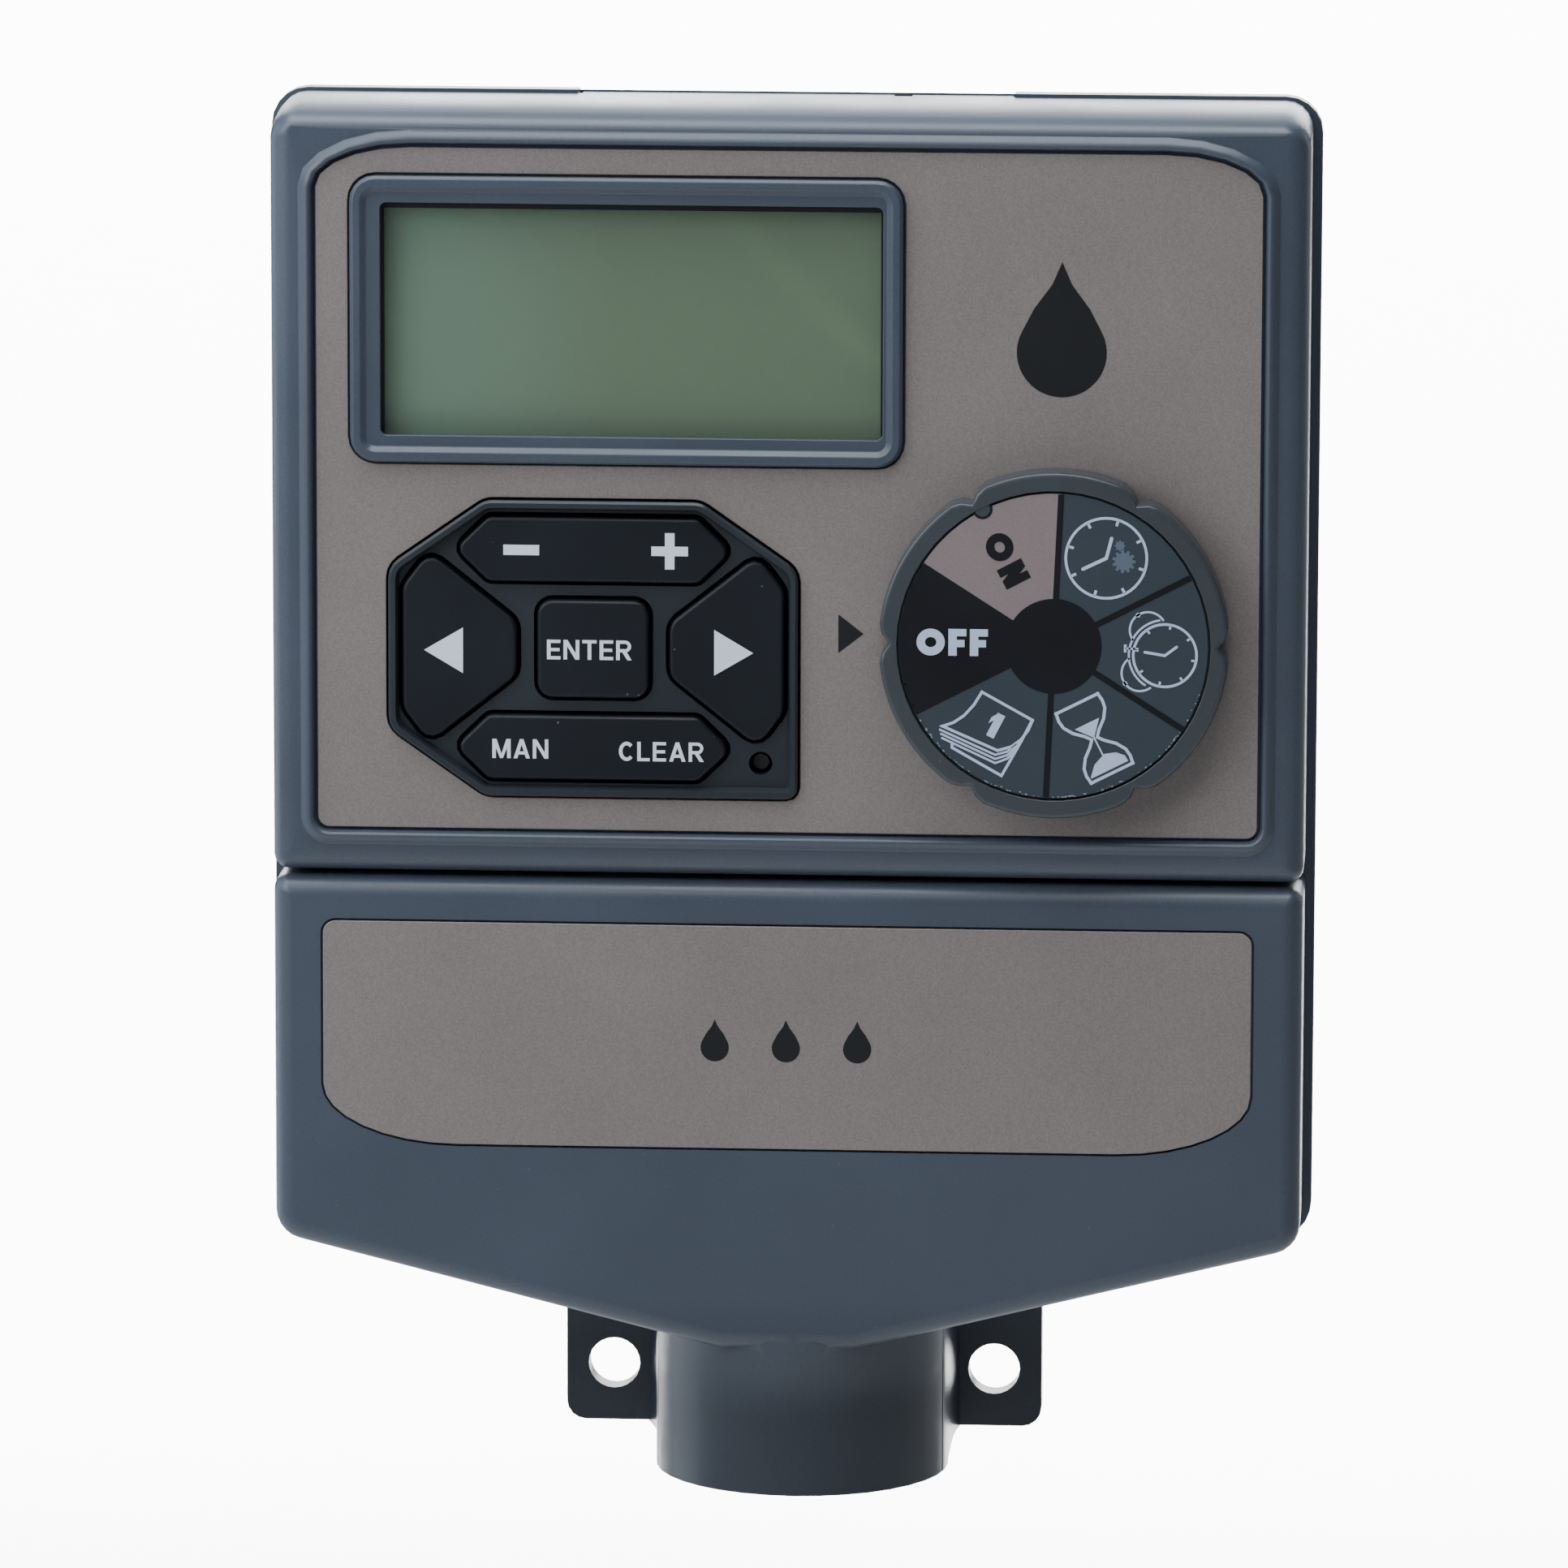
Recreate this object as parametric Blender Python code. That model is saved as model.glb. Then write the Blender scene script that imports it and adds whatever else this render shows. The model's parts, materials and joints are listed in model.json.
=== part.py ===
"""Wall-mounted irrigation controller with a pull-off control panel.

The back case screws to a wall.  The control panel (display, keys, six-way dial, battery) pulls
forward off a plug in the case, and the wiring cover below it pulls forward off the terminals.
Cables leave through a round spigot at the bottom, half of which is on the case and half on the
cover.

All sizes are in millimetres and become metres in new_object.  X runs to the right, Y into the
wall and Z up.  The origin is on the wall plane, on the centre line, at the height of the seam
between the panel and the cover.
"""
import math

import bmesh
import bpy

MM = 0.001
GAP = 0.3                    # clearance between neighbouring pieces
OVERCUT = 1.0                # how far a cutter runs past the surface it opens

# ---- overall housing --------------------------------------------------------------------------
HALF_WIDTH = 65.0            # panel and cover, half of their width
TOP_Z = 97.5                 # top of the panel
FACE_Y = -44.0               # front plane of the housing
PART_Y = -28.0               # plane where panel and cover meet the back case
WALL = 2.4                   # moulded wall
SKIN = 1.8                   # wall behind the labels
FRONT_ROUND = 2.6            # rounding between the front and the sides
CROWN_DEPTH = 10.0           # the panel's top face drops off over this much of its front end
SIDE_LOW_Z = -46.8           # where the sides meet the sloping bottom
BOTTOM_HALF = 8.5            # the sloping bottom ends this far from the middle
BOTTOM_Z = -60.9             # and this low
TOP_CORNER = 3.4
SEAM_CORNER = 2.0
LOW_CORNER = 4.0
RIM_PROUD = 1.2              # the case's rim stands out past the panel
RIM_DROP = 0.8               # less of it at the top
RIM_DEPTH = 2.5
CASE_TAPER = 3.5             # how much each side of the case draws in towards the wall

# ---- spigot and lugs --------------------------------------------------------------------------
SPIGOT_X = 1.0               # the spigot sits a little right of the centre line
SPIGOT_Y = -24.0
SPIGOT_R = 18.8
SPIGOT_BORE_R = 16.4
SPIGOT_LOW_Z = -79.9
SPIGOT_TOP_Z = -52.0
SPIGOT_BLEND_Z = (-58.0, -68.0)   # level with the cover's front at the top, plain tube at the low end
LUG_HALF_WIDTH = 31.0
LUG_LOW_Z = -79.7
LUG_THICK = 3.6
LUG_CORNER = 2.5
LUG_ROOT_Z = -60.0           # the lugs are thicker above this
LUG_ROOT_THICK = 4.4
LUG_HOLE_X = 24.8
LUG_HOLE_Z = -72.1
LUG_HOLE_R = 3.35
LUG_WEB = ((-20.3, -3.2), (-19.6, -5.6), (-18.7, -9.0), (-18.1, -14.0), (-17.7, -22.0),
           (19.7, -22.0), (19.7, -14.0), (19.8, -9.0), (20.0, -5.6), (20.4, -3.2), (20.4, -1.0),
           (-20.3, -1.0))    # section in X and Y of the body between the lugs and the spigot

# ---- keyhole and top notch --------------------------------------------------------------------
KEYHOLE_Z = 80.0
KEYHOLE_R = 4.6
KEYHOLE_SLOT_R = 2.6
KEYHOLE_SLOT_Z = 88.0
NOTCH_HALF_WIDTH = 27.5
NOTCH_DEPTH = 5.0
LEDGE_THICK = 2.4
LEDGE_DROP = 0.4             # their tops lie this far below the panel's top
LEDGE_GAP_X = 13.3           # small V between the two finger ledges
LEDGE_GAP_HALF = 1.1

# ---- front labels -----------------------------------------------------------------------------
LABEL_HALF_WIDTH = 59.1
LABEL_LOW_Z = 6.2
LABEL_TOP_Z = 92.4
LABEL_TOP_CORNER = (12.0, 5.0)
LABEL_LOW_CORNER = (1.4, 1.4)
LABEL_THICK = 0.4
LABEL_FLOOR_Y = -43.4
BEAD_STEPS = ((2.2, 0.05), (1.9, 0.28), (1.55, 0.6), (1.25, 0.78), (0.95, 0.82), (0.65, 0.6),
              (0.45, 0.0))   # distance outside the label and height of the bead round it
LOW_LABEL_HALF_WIDTH = 58.6
LOW_LABEL_TOP_Z = -5.9
LOW_LABEL_BOTTOM_Z = -34.5
LOW_LABEL_CORNER = (17.0, 7.6)
LOW_LABEL_TOP_CORNER = (1.6, 1.6)

# ---- display ----------------------------------------------------------------------------------
BEZEL = (-54.8, 14.4, 52.8, 88.9)        # x low, x high, z low, z high
BEZEL_CORNER = 3.2
BEZEL_STEPS = ((0.0, -42.9), (0.0, -44.7), (0.4, -45.1), (1.3, -45.1), (2.0, -44.5),
               (2.9, -44.5))             # inset and y across the display frame
WINDOW = (-51.0, 11.9, 56.2, 85.5)
WINDOW_CORNER = 0.8
LENS_EDGE = 1.2              # lens edge that the window's lip covers
LENS_FRONT_Y = -43.3
LENS_THICK = 1.4
GLASS_EDGE = 2.6
GLASS_Y = (-41.2, -38.6)
HOLDER_EDGE = 1.4
HOLDER_BACK_Y = -36.8

# ---- keypad -----------------------------------------------------------------------------------
PAD_X = -24.35
PAD_Z = 29.3
PAD_HALF_W = 25.75
PAD_HALF_H = 18.8
PAD_CHAMFER = (12.2, 8.5)
PAD_RIM = 0.9
PAD_RIM_Y = -44.9
PAD_FLOOR_Y = -43.6
PAD_BACK_Y = -41.2
KEY_GAP = 0.5
KEY_FRONT_Y = -44.6
KEY_BACK_Y = -38.3
ROCKER_PIVOT_Y = -40.5
KEY_ROUND = 0.5
PAD_STEPS = ((0.0, PAD_BACK_Y), (0.0, PAD_RIM_Y + 0.3), (0.3, PAD_RIM_Y), (PAD_RIM, PAD_RIM_Y),
             (PAD_RIM + 0.4, PAD_FLOOR_Y))   # inset and y across the keypad frame
PAD_CORNER = 3.0
PAD_SQUARE_CORNER = 1.5
PAD_FLANGE = (1.2, 0.9)      # how far the hidden flange stands out, and its thickness
ROCKER_Z = 12.6
ROCKER_TIP = 17.4
ROCKER_FLAT = 13.2
ROCKER_HALF_H = 4.1
ROCKER_CORNER = 1.4
ENTER_HALF = (7.0, 6.2)
ENTER_CORNER = 1.9
ARROW_OUT_X = 24.0
ARROW_OUT_Z = 7.8
ARROW_APEX = (20.7, 12.2)
ARROW_IN = (9.6, 3.4)
ARROW_CORNERS = (2.6, 2.6, 1.8, 2.4, 2.4, 1.8)
RESET_X = -3.3
RESET_Z = 14.9
RESET_R = 1.5
RESET_STEM_R = 1.0
RESET_Y = (-42.2, -38.95)
RESET_SWITCH_HALF = 2.3
RESET_SWITCH_Y = -38.6
PILL_R = 2.2
PILL_THICK = 0.5
PILL_REACH = 9.5             # how far out from a rocker's pivot its pills sit
MAT_Y = (-40.0, -39.2)
MAT_INSET = 0.6

# ---- dial -------------------------------------------------------------------------------------
DIAL_X = 33.6
DIAL_Z = 31.2
DIAL_R = 21.9
DIAL_DISC_R = 19.3
DIAL_FRONT_Y = -49.0
DIAL_BACK_Y = -44.6
DIAL_FLOOR_Y = -48.1
DIAL_NOTCHES = 6
DIAL_NOTCH_DEPTH = 1.3
DIAL_NOTCH_HALF = 2.0
DIAL_HOLLOW_R = 17.5
DIAL_HUB_R = 6.0
DIAL_WEB = 1.2               # front wall of the knob behind the disc
SHAFT_R = 3.0
SHAFT_HOLE_R = 4.0
LABEL_SHAFT_HOLE_R = 5.0
SWITCH_HALF = 11.0
SWITCH_FRONT_Y = -41.2

# ---- boards and connectors --------------------------------------------------------------------
BOARD_Y = (-36.4, -34.8)
BOARD = (-52.0, 52.0, 4.2, 92.0)
CHIP = (-42.0, -28.0, 28.0, 42.0)        # x low, x high, z low, z high
CHIP_THICK = 1.7
CRYSTAL = (-20.0, -12.0, 33.0, 36.0)
CRYSTAL_THICK = 2.7
BACK_PLATE_Y = (-30.7, -28.7)
PANEL_SCREW_X = 58.9
PANEL_SCREW_Z = (9.0, 88.5)
PANEL_POST_Y = -31.0
PANEL_PILOT_Y = -39.5
PANEL_SCREW_HEAD_Y = -26.6
PANEL_SCREW_TIP_Y = -38.5
PLUG_Z = 8.0
PLUG_PINS = 10
PLUG_PITCH = 2.8
PLUG_BAR = (0.6, 1.4)        # bar past the last pin, and half of its height
PLUG_BAR_Y = -26.8
PLUG_TIP_Y = -20.5
PLUG_OPENING = (-16.0, 16.0, 5.8, 10.2)
PIN_HALF = 0.4
SOCKET = (-17.0, 17.0, 4.0, 12.0)
SOCKET_FRONT_Y = -26.2
SOCKET_SLOT = (-14.6, 14.6, 6.9, 9.1)
SOCKET_SLOT_Y = -19.6
BATTERY = (48.5, 17.5, 26.5)
BATTERY_Z = 60.0
CRADLE_WALL = 1.6
CRADLE_BACK_Y = -13.5
BATTERY_END_GAP = 0.6        # between the battery's terminals and the snap
SNAP_X = (24.9, 31.0)
SNAP_Y = (-27.5, -14.5)
SNAP_HALF_Z = 11.0
BASE_BOARD_Y = (-14.0, -12.4)
BASE_BOARD = (-50.0, 50.0, -28.0, 14.0)
TERMINALS = 8
TERMINAL_PITCH = 10.0
TERMINAL_BLOCK_Y = (-26.0, -14.3)
TERMINAL_BLOCK_Z = (-26.0, -13.0)
TERMINAL_SCREW_Z = -19.0
TERMINAL_SCREW_R = 2.2
TERMINAL_SHANK_R = 1.4
TERMINAL_WELL_R = 2.7
TERMINAL_SUNK = 0.8          # how deep the screw heads sit in the block
TERMINAL_SCREW_LEN = 8.2
TERMINAL_END = 1.5           # block past the last pair of wells
HOOK_X = 58.0                # snap arms that hold the wiring cover
HOOK_THICK = 1.5
HOOK_Z = (-34.0, -24.0)
HOOK_ROOT_Y = (-37.0, -33.0)
HOOK_TIP_Y = -21.0
DIVIDER_Y = (-27.0, -15.4)
DIVIDER_HALF = 1.0
BOARD_POST = (45.5, -5.0)
CLAMP_POST_X = 12.5
CLAMP_HALF_WIDTH = 16.0
CLAMP_Z = -46.0
CLAMP_HALF_HEIGHT = 3.5
CLAMP_Y = (-15.5, -12.0)
POST_R = 3.2
PILOT_R = 1.6
PILOT_DEPTH = 7.0
SCREW_R = 1.25
SCREW_BITE = 5.5             # how far a screw goes into its post
HEAD_R = 2.8
HEAD_THICK = 1.8

ARC_STEPS = 5
ROUND_STEPS = 24


# ---- scene and materials ----------------------------------------------------------------------
def clear_scene():
    for obj in list(bpy.data.objects):
        bpy.data.objects.remove(obj, do_unlink=True)


def material(name, colour, roughness, metallic=0.0):
    mat = bpy.data.materials.new(name)
    mat.use_nodes = True
    shader = mat.node_tree.nodes["Principled BSDF"]
    shader.inputs["Base Color"].default_value = (*colour, 1.0)
    shader.inputs["Roughness"].default_value = roughness
    shader.inputs["Metallic"].default_value = metallic
    return mat


# ---- outlines in the XZ plane, anticlockwise seen from the front ---------------------------------
def arc(centre_x, centre_z, radius_x, radius_z, start, end, steps):
    """Points on an elliptical arc between two angles in degrees, both ends included."""
    points = []
    for step in range(steps + 1):
        angle = math.radians(start + (end - start) * step / steps)
        points.append((centre_x + radius_x * math.cos(angle), centre_z + radius_z * math.sin(angle)))
    return points


def circle(centre_x, centre_z, radius, steps=ROUND_STEPS):
    return arc(centre_x, centre_z, radius, radius, 0, 360, steps)[:-1]


def rounded_box(x_low, x_high, z_low, z_high, low_corner, top_corner, steps=ARC_STEPS):
    """A rectangle whose two lower and two upper corners are quarter ellipses (rx, rz)."""
    low_x, low_z = low_corner
    top_x, top_z = top_corner
    points = arc(x_high - low_x, z_low + low_z, low_x, low_z, -90, 0, steps)
    points += arc(x_high - top_x, z_high - top_z, top_x, top_z, 0, 90, steps)
    points += arc(x_low + top_x, z_high - top_z, top_x, top_z, 90, 180, steps)
    points += arc(x_low + low_x, z_low + low_z, low_x, low_z, 180, 270, steps)
    return points


def square_box(x_low, x_high, z_low, z_high):
    return [(x_low, z_low), (x_high, z_low), (x_high, z_high), (x_low, z_high)]


def soft_box(bounds, radius, grow=0.0):
    """A rounded rectangle from (x low, x high, z low, z high), grown outwards by grow."""
    x_low, x_high, z_low, z_high = bounds
    corner = (max(radius + grow, 0.2), max(radius + grow, 0.2))
    return rounded_box(x_low - grow, x_high + grow, z_low - grow, z_high + grow, corner, corner)


def offset_polygon(points, distance):
    """Move each side of a convex polygon inwards by distance."""
    moved = []
    count = len(points)
    for index in range(count):
        before, here, after = points[index - 1], points[index], points[(index + 1) % count]
        first = (here[0] - before[0], here[1] - before[1])
        second = (after[0] - here[0], after[1] - here[1])
        first_len, second_len = math.hypot(*first), math.hypot(*second)
        normal_a = (-first[1] / first_len, first[0] / first_len)
        normal_b = (-second[1] / second_len, second[0] / second_len)
        spread = 1.0 + normal_a[0] * normal_b[0] + normal_a[1] * normal_b[1]
        moved.append((here[0] + distance * (normal_a[0] + normal_b[0]) / spread,
                      here[1] + distance * (normal_a[1] + normal_b[1]) / spread))
    return moved


def rounded_polygon(points, radii, steps=ARC_STEPS):
    """Round each corner of a polygon with its own radius; a radius of 0 keeps the corner."""
    outline = []
    count = len(points)
    for index in range(count):
        before, here, after = points[index - 1], points[index], points[(index + 1) % count]
        radius = radii[index]
        if radius <= 0:
            outline.append(here)
            continue
        to_before = (before[0] - here[0], before[1] - here[1])
        to_after = (after[0] - here[0], after[1] - here[1])
        len_before, len_after = math.hypot(*to_before), math.hypot(*to_after)
        unit_before = (to_before[0] / len_before, to_before[1] / len_before)
        unit_after = (to_after[0] / len_after, to_after[1] / len_after)
        cosine = unit_before[0] * unit_after[0] + unit_before[1] * unit_after[1]
        half = math.acos(max(-1.0, min(1.0, cosine))) / 2
        reach = radius / math.sin(half)
        mid = (unit_before[0] + unit_after[0], unit_before[1] + unit_after[1])
        mid_len = math.hypot(*mid)
        centre = (here[0] + reach * mid[0] / mid_len, here[1] + reach * mid[1] / mid_len)
        start_point = (here[0] + unit_before[0] * radius / math.tan(half),
                       here[1] + unit_before[1] * radius / math.tan(half))
        end_point = (here[0] + unit_after[0] * radius / math.tan(half),
                     here[1] + unit_after[1] * radius / math.tan(half))
        start = math.degrees(math.atan2(start_point[1] - centre[1], start_point[0] - centre[0]))
        end = math.degrees(math.atan2(end_point[1] - centre[1], end_point[0] - centre[0]))
        while end < start:
            end += 360
        outline += arc(centre[0], centre[1], radius, radius, start, end, steps)
    return outline


def panel_outline(inset=0.0, drop=None):
    """The panel from the front; drop is how far its top edge lies lower, the inset if not given."""
    corner = max(TOP_CORNER - inset, 0.4)
    low = max(SEAM_CORNER - inset, 0.4)
    top = TOP_Z - (inset if drop is None else drop)
    return rounded_box(-HALF_WIDTH + inset, HALF_WIDTH - inset, GAP + inset, top,
                       (low, low), (corner, corner))


def label_outline(grow=0.0):
    return rounded_box(-LABEL_HALF_WIDTH - grow, LABEL_HALF_WIDTH + grow,
                       LABEL_LOW_Z - grow, LABEL_TOP_Z + grow,
                       (LABEL_LOW_CORNER[0] + grow, LABEL_LOW_CORNER[1] + grow),
                       (LABEL_TOP_CORNER[0] + grow, LABEL_TOP_CORNER[1] + grow))


def low_label_outline(grow=0.0):
    return rounded_box(-LOW_LABEL_HALF_WIDTH - grow, LOW_LABEL_HALF_WIDTH + grow,
                       LOW_LABEL_BOTTOM_Z - grow, LOW_LABEL_TOP_Z + grow,
                       (LOW_LABEL_CORNER[0] + grow, LOW_LABEL_CORNER[1] + grow),
                       (LOW_LABEL_TOP_CORNER[0] + grow, LOW_LABEL_TOP_CORNER[1] + grow), 8)


def pointed_outline(top_z, top_corner, inset=0.0):
    """The housing seen from the front: straight sides and a bottom that slopes to the middle."""
    points = [(-HALF_WIDTH, SIDE_LOW_Z), (-BOTTOM_HALF, BOTTOM_Z), (BOTTOM_HALF, BOTTOM_Z),
              (HALF_WIDTH, SIDE_LOW_Z), (HALF_WIDTH, top_z), (-HALF_WIDTH, top_z)]
    points = offset_polygon(points, inset)
    low = max(LOW_CORNER - inset, 0.5)
    top = max(top_corner - inset, 0.5)
    return rounded_polygon(points, [low, 0, 0, low, top, top])


def pad_outline(grow=0.0):
    """The keypad frame: an octagon with three chamfered corners and one square one."""
    cut_x, cut_z = PAD_CHAMFER
    left, right = PAD_X - PAD_HALF_W, PAD_X + PAD_HALF_W
    low, high = PAD_Z - PAD_HALF_H, PAD_Z + PAD_HALF_H
    points = [(left, low + cut_z), (left + cut_x, low), (right, low), (right, high - cut_z),
              (right - cut_x, high), (left + cut_x, high), (left, high - cut_z)]
    points = offset_polygon(points, -grow)
    soft = max(PAD_CORNER + grow, 0.4)
    square = max(PAD_SQUARE_CORNER + grow, 0.3)
    return rounded_polygon(points, [soft, soft, square, soft, soft, soft, soft], 3)


def rocker_outline(sign, grow=0.0):
    tip, flat, half = ROCKER_TIP, ROCKER_FLAT, ROCKER_HALF_H
    centre_z = PAD_Z + sign * ROCKER_Z
    points = [(-tip, 0), (-flat, -half), (flat, -half), (tip, 0), (flat, half), (-flat, half)]
    points = [(PAD_X + x, centre_z + z) for x, z in points]
    points = offset_polygon(points, -grow)
    return rounded_polygon(points, [max(ROCKER_CORNER + grow, 0.3)] * len(points), 3)


def arrow_outline(sign, grow=0.0):
    apex_x, apex_z = ARROW_APEX
    in_x, in_z = ARROW_IN
    points = [(ARROW_OUT_X, -ARROW_OUT_Z), (ARROW_OUT_X, ARROW_OUT_Z), (apex_x, apex_z),
              (in_x, in_z), (in_x, -in_z), (apex_x, -apex_z)]
    points = offset_polygon(points, -grow)
    radii = [max(r + grow, 0.3) for r in ARROW_CORNERS]
    outline = rounded_polygon(points, radii, 3)
    outline = [(PAD_X + sign * x, PAD_Z + z) for x, z in outline]
    return outline if sign > 0 else outline[::-1]


def enter_outline(grow=0.0):
    half_x, half_z = ENTER_HALF
    bounds = (PAD_X - half_x, PAD_X + half_x, PAD_Z - half_z, PAD_Z + half_z)
    return soft_box(bounds, ENTER_CORNER, grow)


def dial_outline(inset=0.0, steps=108):
    """A circle with six shallow finger notches, one at the middle of each sector."""
    points = []
    for step in range(steps):
        angle = math.tau * step / steps
        spacing = math.tau / DIAL_NOTCHES
        off = abs((angle + spacing / 2) % spacing - spacing / 2) * DIAL_R
        dip = 0.0
        if off < DIAL_NOTCH_HALF:
            dip = DIAL_NOTCH_DEPTH * math.cos(math.pi / 2 * off / DIAL_NOTCH_HALF) ** 2
        radius = DIAL_R - inset - dip
        points.append((DIAL_X + radius * math.cos(angle), DIAL_Z + radius * math.sin(angle)))
    return points


# ---- solids -----------------------------------------------------------------------------------
def new_object(name, mesh_builder, mat, origin=(0.0, 0.0, 0.0)):
    """Turn a bmesh in millimetres into an object in metres with its origin at origin."""
    bmesh.ops.recalc_face_normals(mesh_builder, faces=mesh_builder.faces)
    for vert in mesh_builder.verts:
        for axis in range(3):
            vert.co[axis] = (vert.co[axis] - origin[axis]) * MM
    mesh = bpy.data.meshes.new(name)
    mesh_builder.to_mesh(mesh)
    mesh_builder.free()
    mesh.materials.append(mat)
    obj = bpy.data.objects.new(name, mesh)
    obj.location = [value * MM for value in origin]
    bpy.context.collection.objects.link(obj)
    return obj


def plate(name, outline, y_span, mat, holes=(), origin=(0.0, 0.0, 0.0)):
    """A flat plate in the XZ plane with straight-through holes."""
    build = bmesh.new()
    edges = []
    for loop in (outline, *holes):
        verts = [build.verts.new((x, y_span[0], z)) for x, z in loop]
        for index, vert in enumerate(verts):
            edges.append(build.edges.new((vert, verts[(index + 1) % len(verts)])))
    bmesh.ops.triangle_fill(build, use_beauty=True, edges=edges)
    moved = bmesh.ops.extrude_face_region(build, geom=list(build.faces))
    top = [item for item in moved["geom"] if isinstance(item, bmesh.types.BMVert)]
    bmesh.ops.translate(build, vec=(0, y_span[1] - y_span[0], 0), verts=top)
    return new_object(name, build, mat, origin)


def loft(name, rings, mat, origin=(0.0, 0.0, 0.0)):
    """Join rings of equal count, each (outline, y), and cap the first and the last."""
    build = bmesh.new()
    loops = [[build.verts.new((x, y, z)) for x, z in outline] for outline, y in rings]
    count = len(loops[0])
    for lower, upper in zip(loops, loops[1:]):
        for index in range(count):
            after = (index + 1) % count
            build.faces.new((lower[index], lower[after], upper[after], upper[index]))
    build.faces.new(loops[0])
    build.faces.new(loops[-1][::-1])
    return new_object(name, build, mat, origin)


def block(name, x_span, y_span, z_span, mat, origin=(0.0, 0.0, 0.0)):
    return plate(name, square_box(x_span[0], x_span[1], z_span[0], z_span[1]), y_span, mat,
                 origin=origin)


def loft_z(name, sections, mat):
    """Join sections of equal count, each (points in XY, z), and cap the first and the last."""
    build = bmesh.new()
    loops = [[build.verts.new((x, y, z)) for x, y in points] for points, z in sections]
    count = len(loops[0])
    for lower, upper in zip(loops, loops[1:]):
        for index in range(count):
            after = (index + 1) % count
            build.faces.new((lower[index], lower[after], upper[after], upper[index]))
    build.faces.new(loops[0][::-1])
    build.faces.new(loops[-1])
    return new_object(name, build, mat)


def tube_z(name, radius, z_span, mat, steps=36):
    """An upright cylinder on the spigot's axis."""
    return loft_z(name, [(circle(SPIGOT_X, SPIGOT_Y, radius, steps), z) for z in z_span], mat)


def blended_spigot(name, mat, steps=36, levels=5):
    """The spigot with its front swelling upwards until it is level with the cover's front."""
    start, end = SPIGOT_BLEND_Z
    swell = SPIGOT_Y - SPIGOT_R - FACE_Y + 0.02
    heights = [(SPIGOT_LOW_Z, 0.0)]
    for level in range(levels + 1):
        share = level / levels
        heights.append((end + (start - end) * share, share * share * (3 - 2 * share)))
    heights.append((SPIGOT_TOP_Z, 1.0))
    sections = []
    for z, flat in heights:
        points = []
        for x, y in circle(SPIGOT_X, SPIGOT_Y, SPIGOT_R, steps):
            forward = max(SPIGOT_Y - y, 0.0) / SPIGOT_R
            points.append((x, y - flat * swell * forward))
        sections.append((points, z))
    return loft_z(name, sections, mat)


def hide_tool(tool):
    tool.hide_render = True
    tool.display_type = "WIRE"


def combine(target, tool, operation):
    modifier = target.modifiers.new(tool.name, "BOOLEAN")
    modifier.operation = operation
    modifier.solver = "EXACT"
    modifier.object = tool
    hide_tool(tool)


def cut(target, tool):
    combine(target, tool, "DIFFERENCE")


def fuse(target, tool):
    combine(target, tool, "UNION")


def screw(name, x, z, head_y, tip_y, mat, head_r=HEAD_R, shank_r=SCREW_R):
    """A pan-head screw whose head faces y = head_y."""
    toward = 1 if tip_y > head_y else -1
    under_y = head_y + toward * HEAD_THICK
    rings = [(circle(x, z, head_r * 0.8, 12), head_y),
             (circle(x, z, head_r, 12), head_y + toward * HEAD_THICK * 0.4),
             (circle(x, z, head_r, 12), under_y),
             (circle(x, z, shank_r, 12), under_y),
             (circle(x, z, shank_r, 12), tip_y)]
    return loft(name, rings, mat, (x, head_y, z))


def attach(empty_name, location, pieces):
    """Parent pieces to an empty at a joint without moving them."""
    empty = bpy.data.objects.new(empty_name, None)
    empty.location = [value * MM for value in location]
    bpy.context.collection.objects.link(empty)
    for piece in pieces:
        piece.parent = empty
        piece.location = [piece.location[axis] - empty.location[axis] for axis in range(3)]
    return empty


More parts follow.
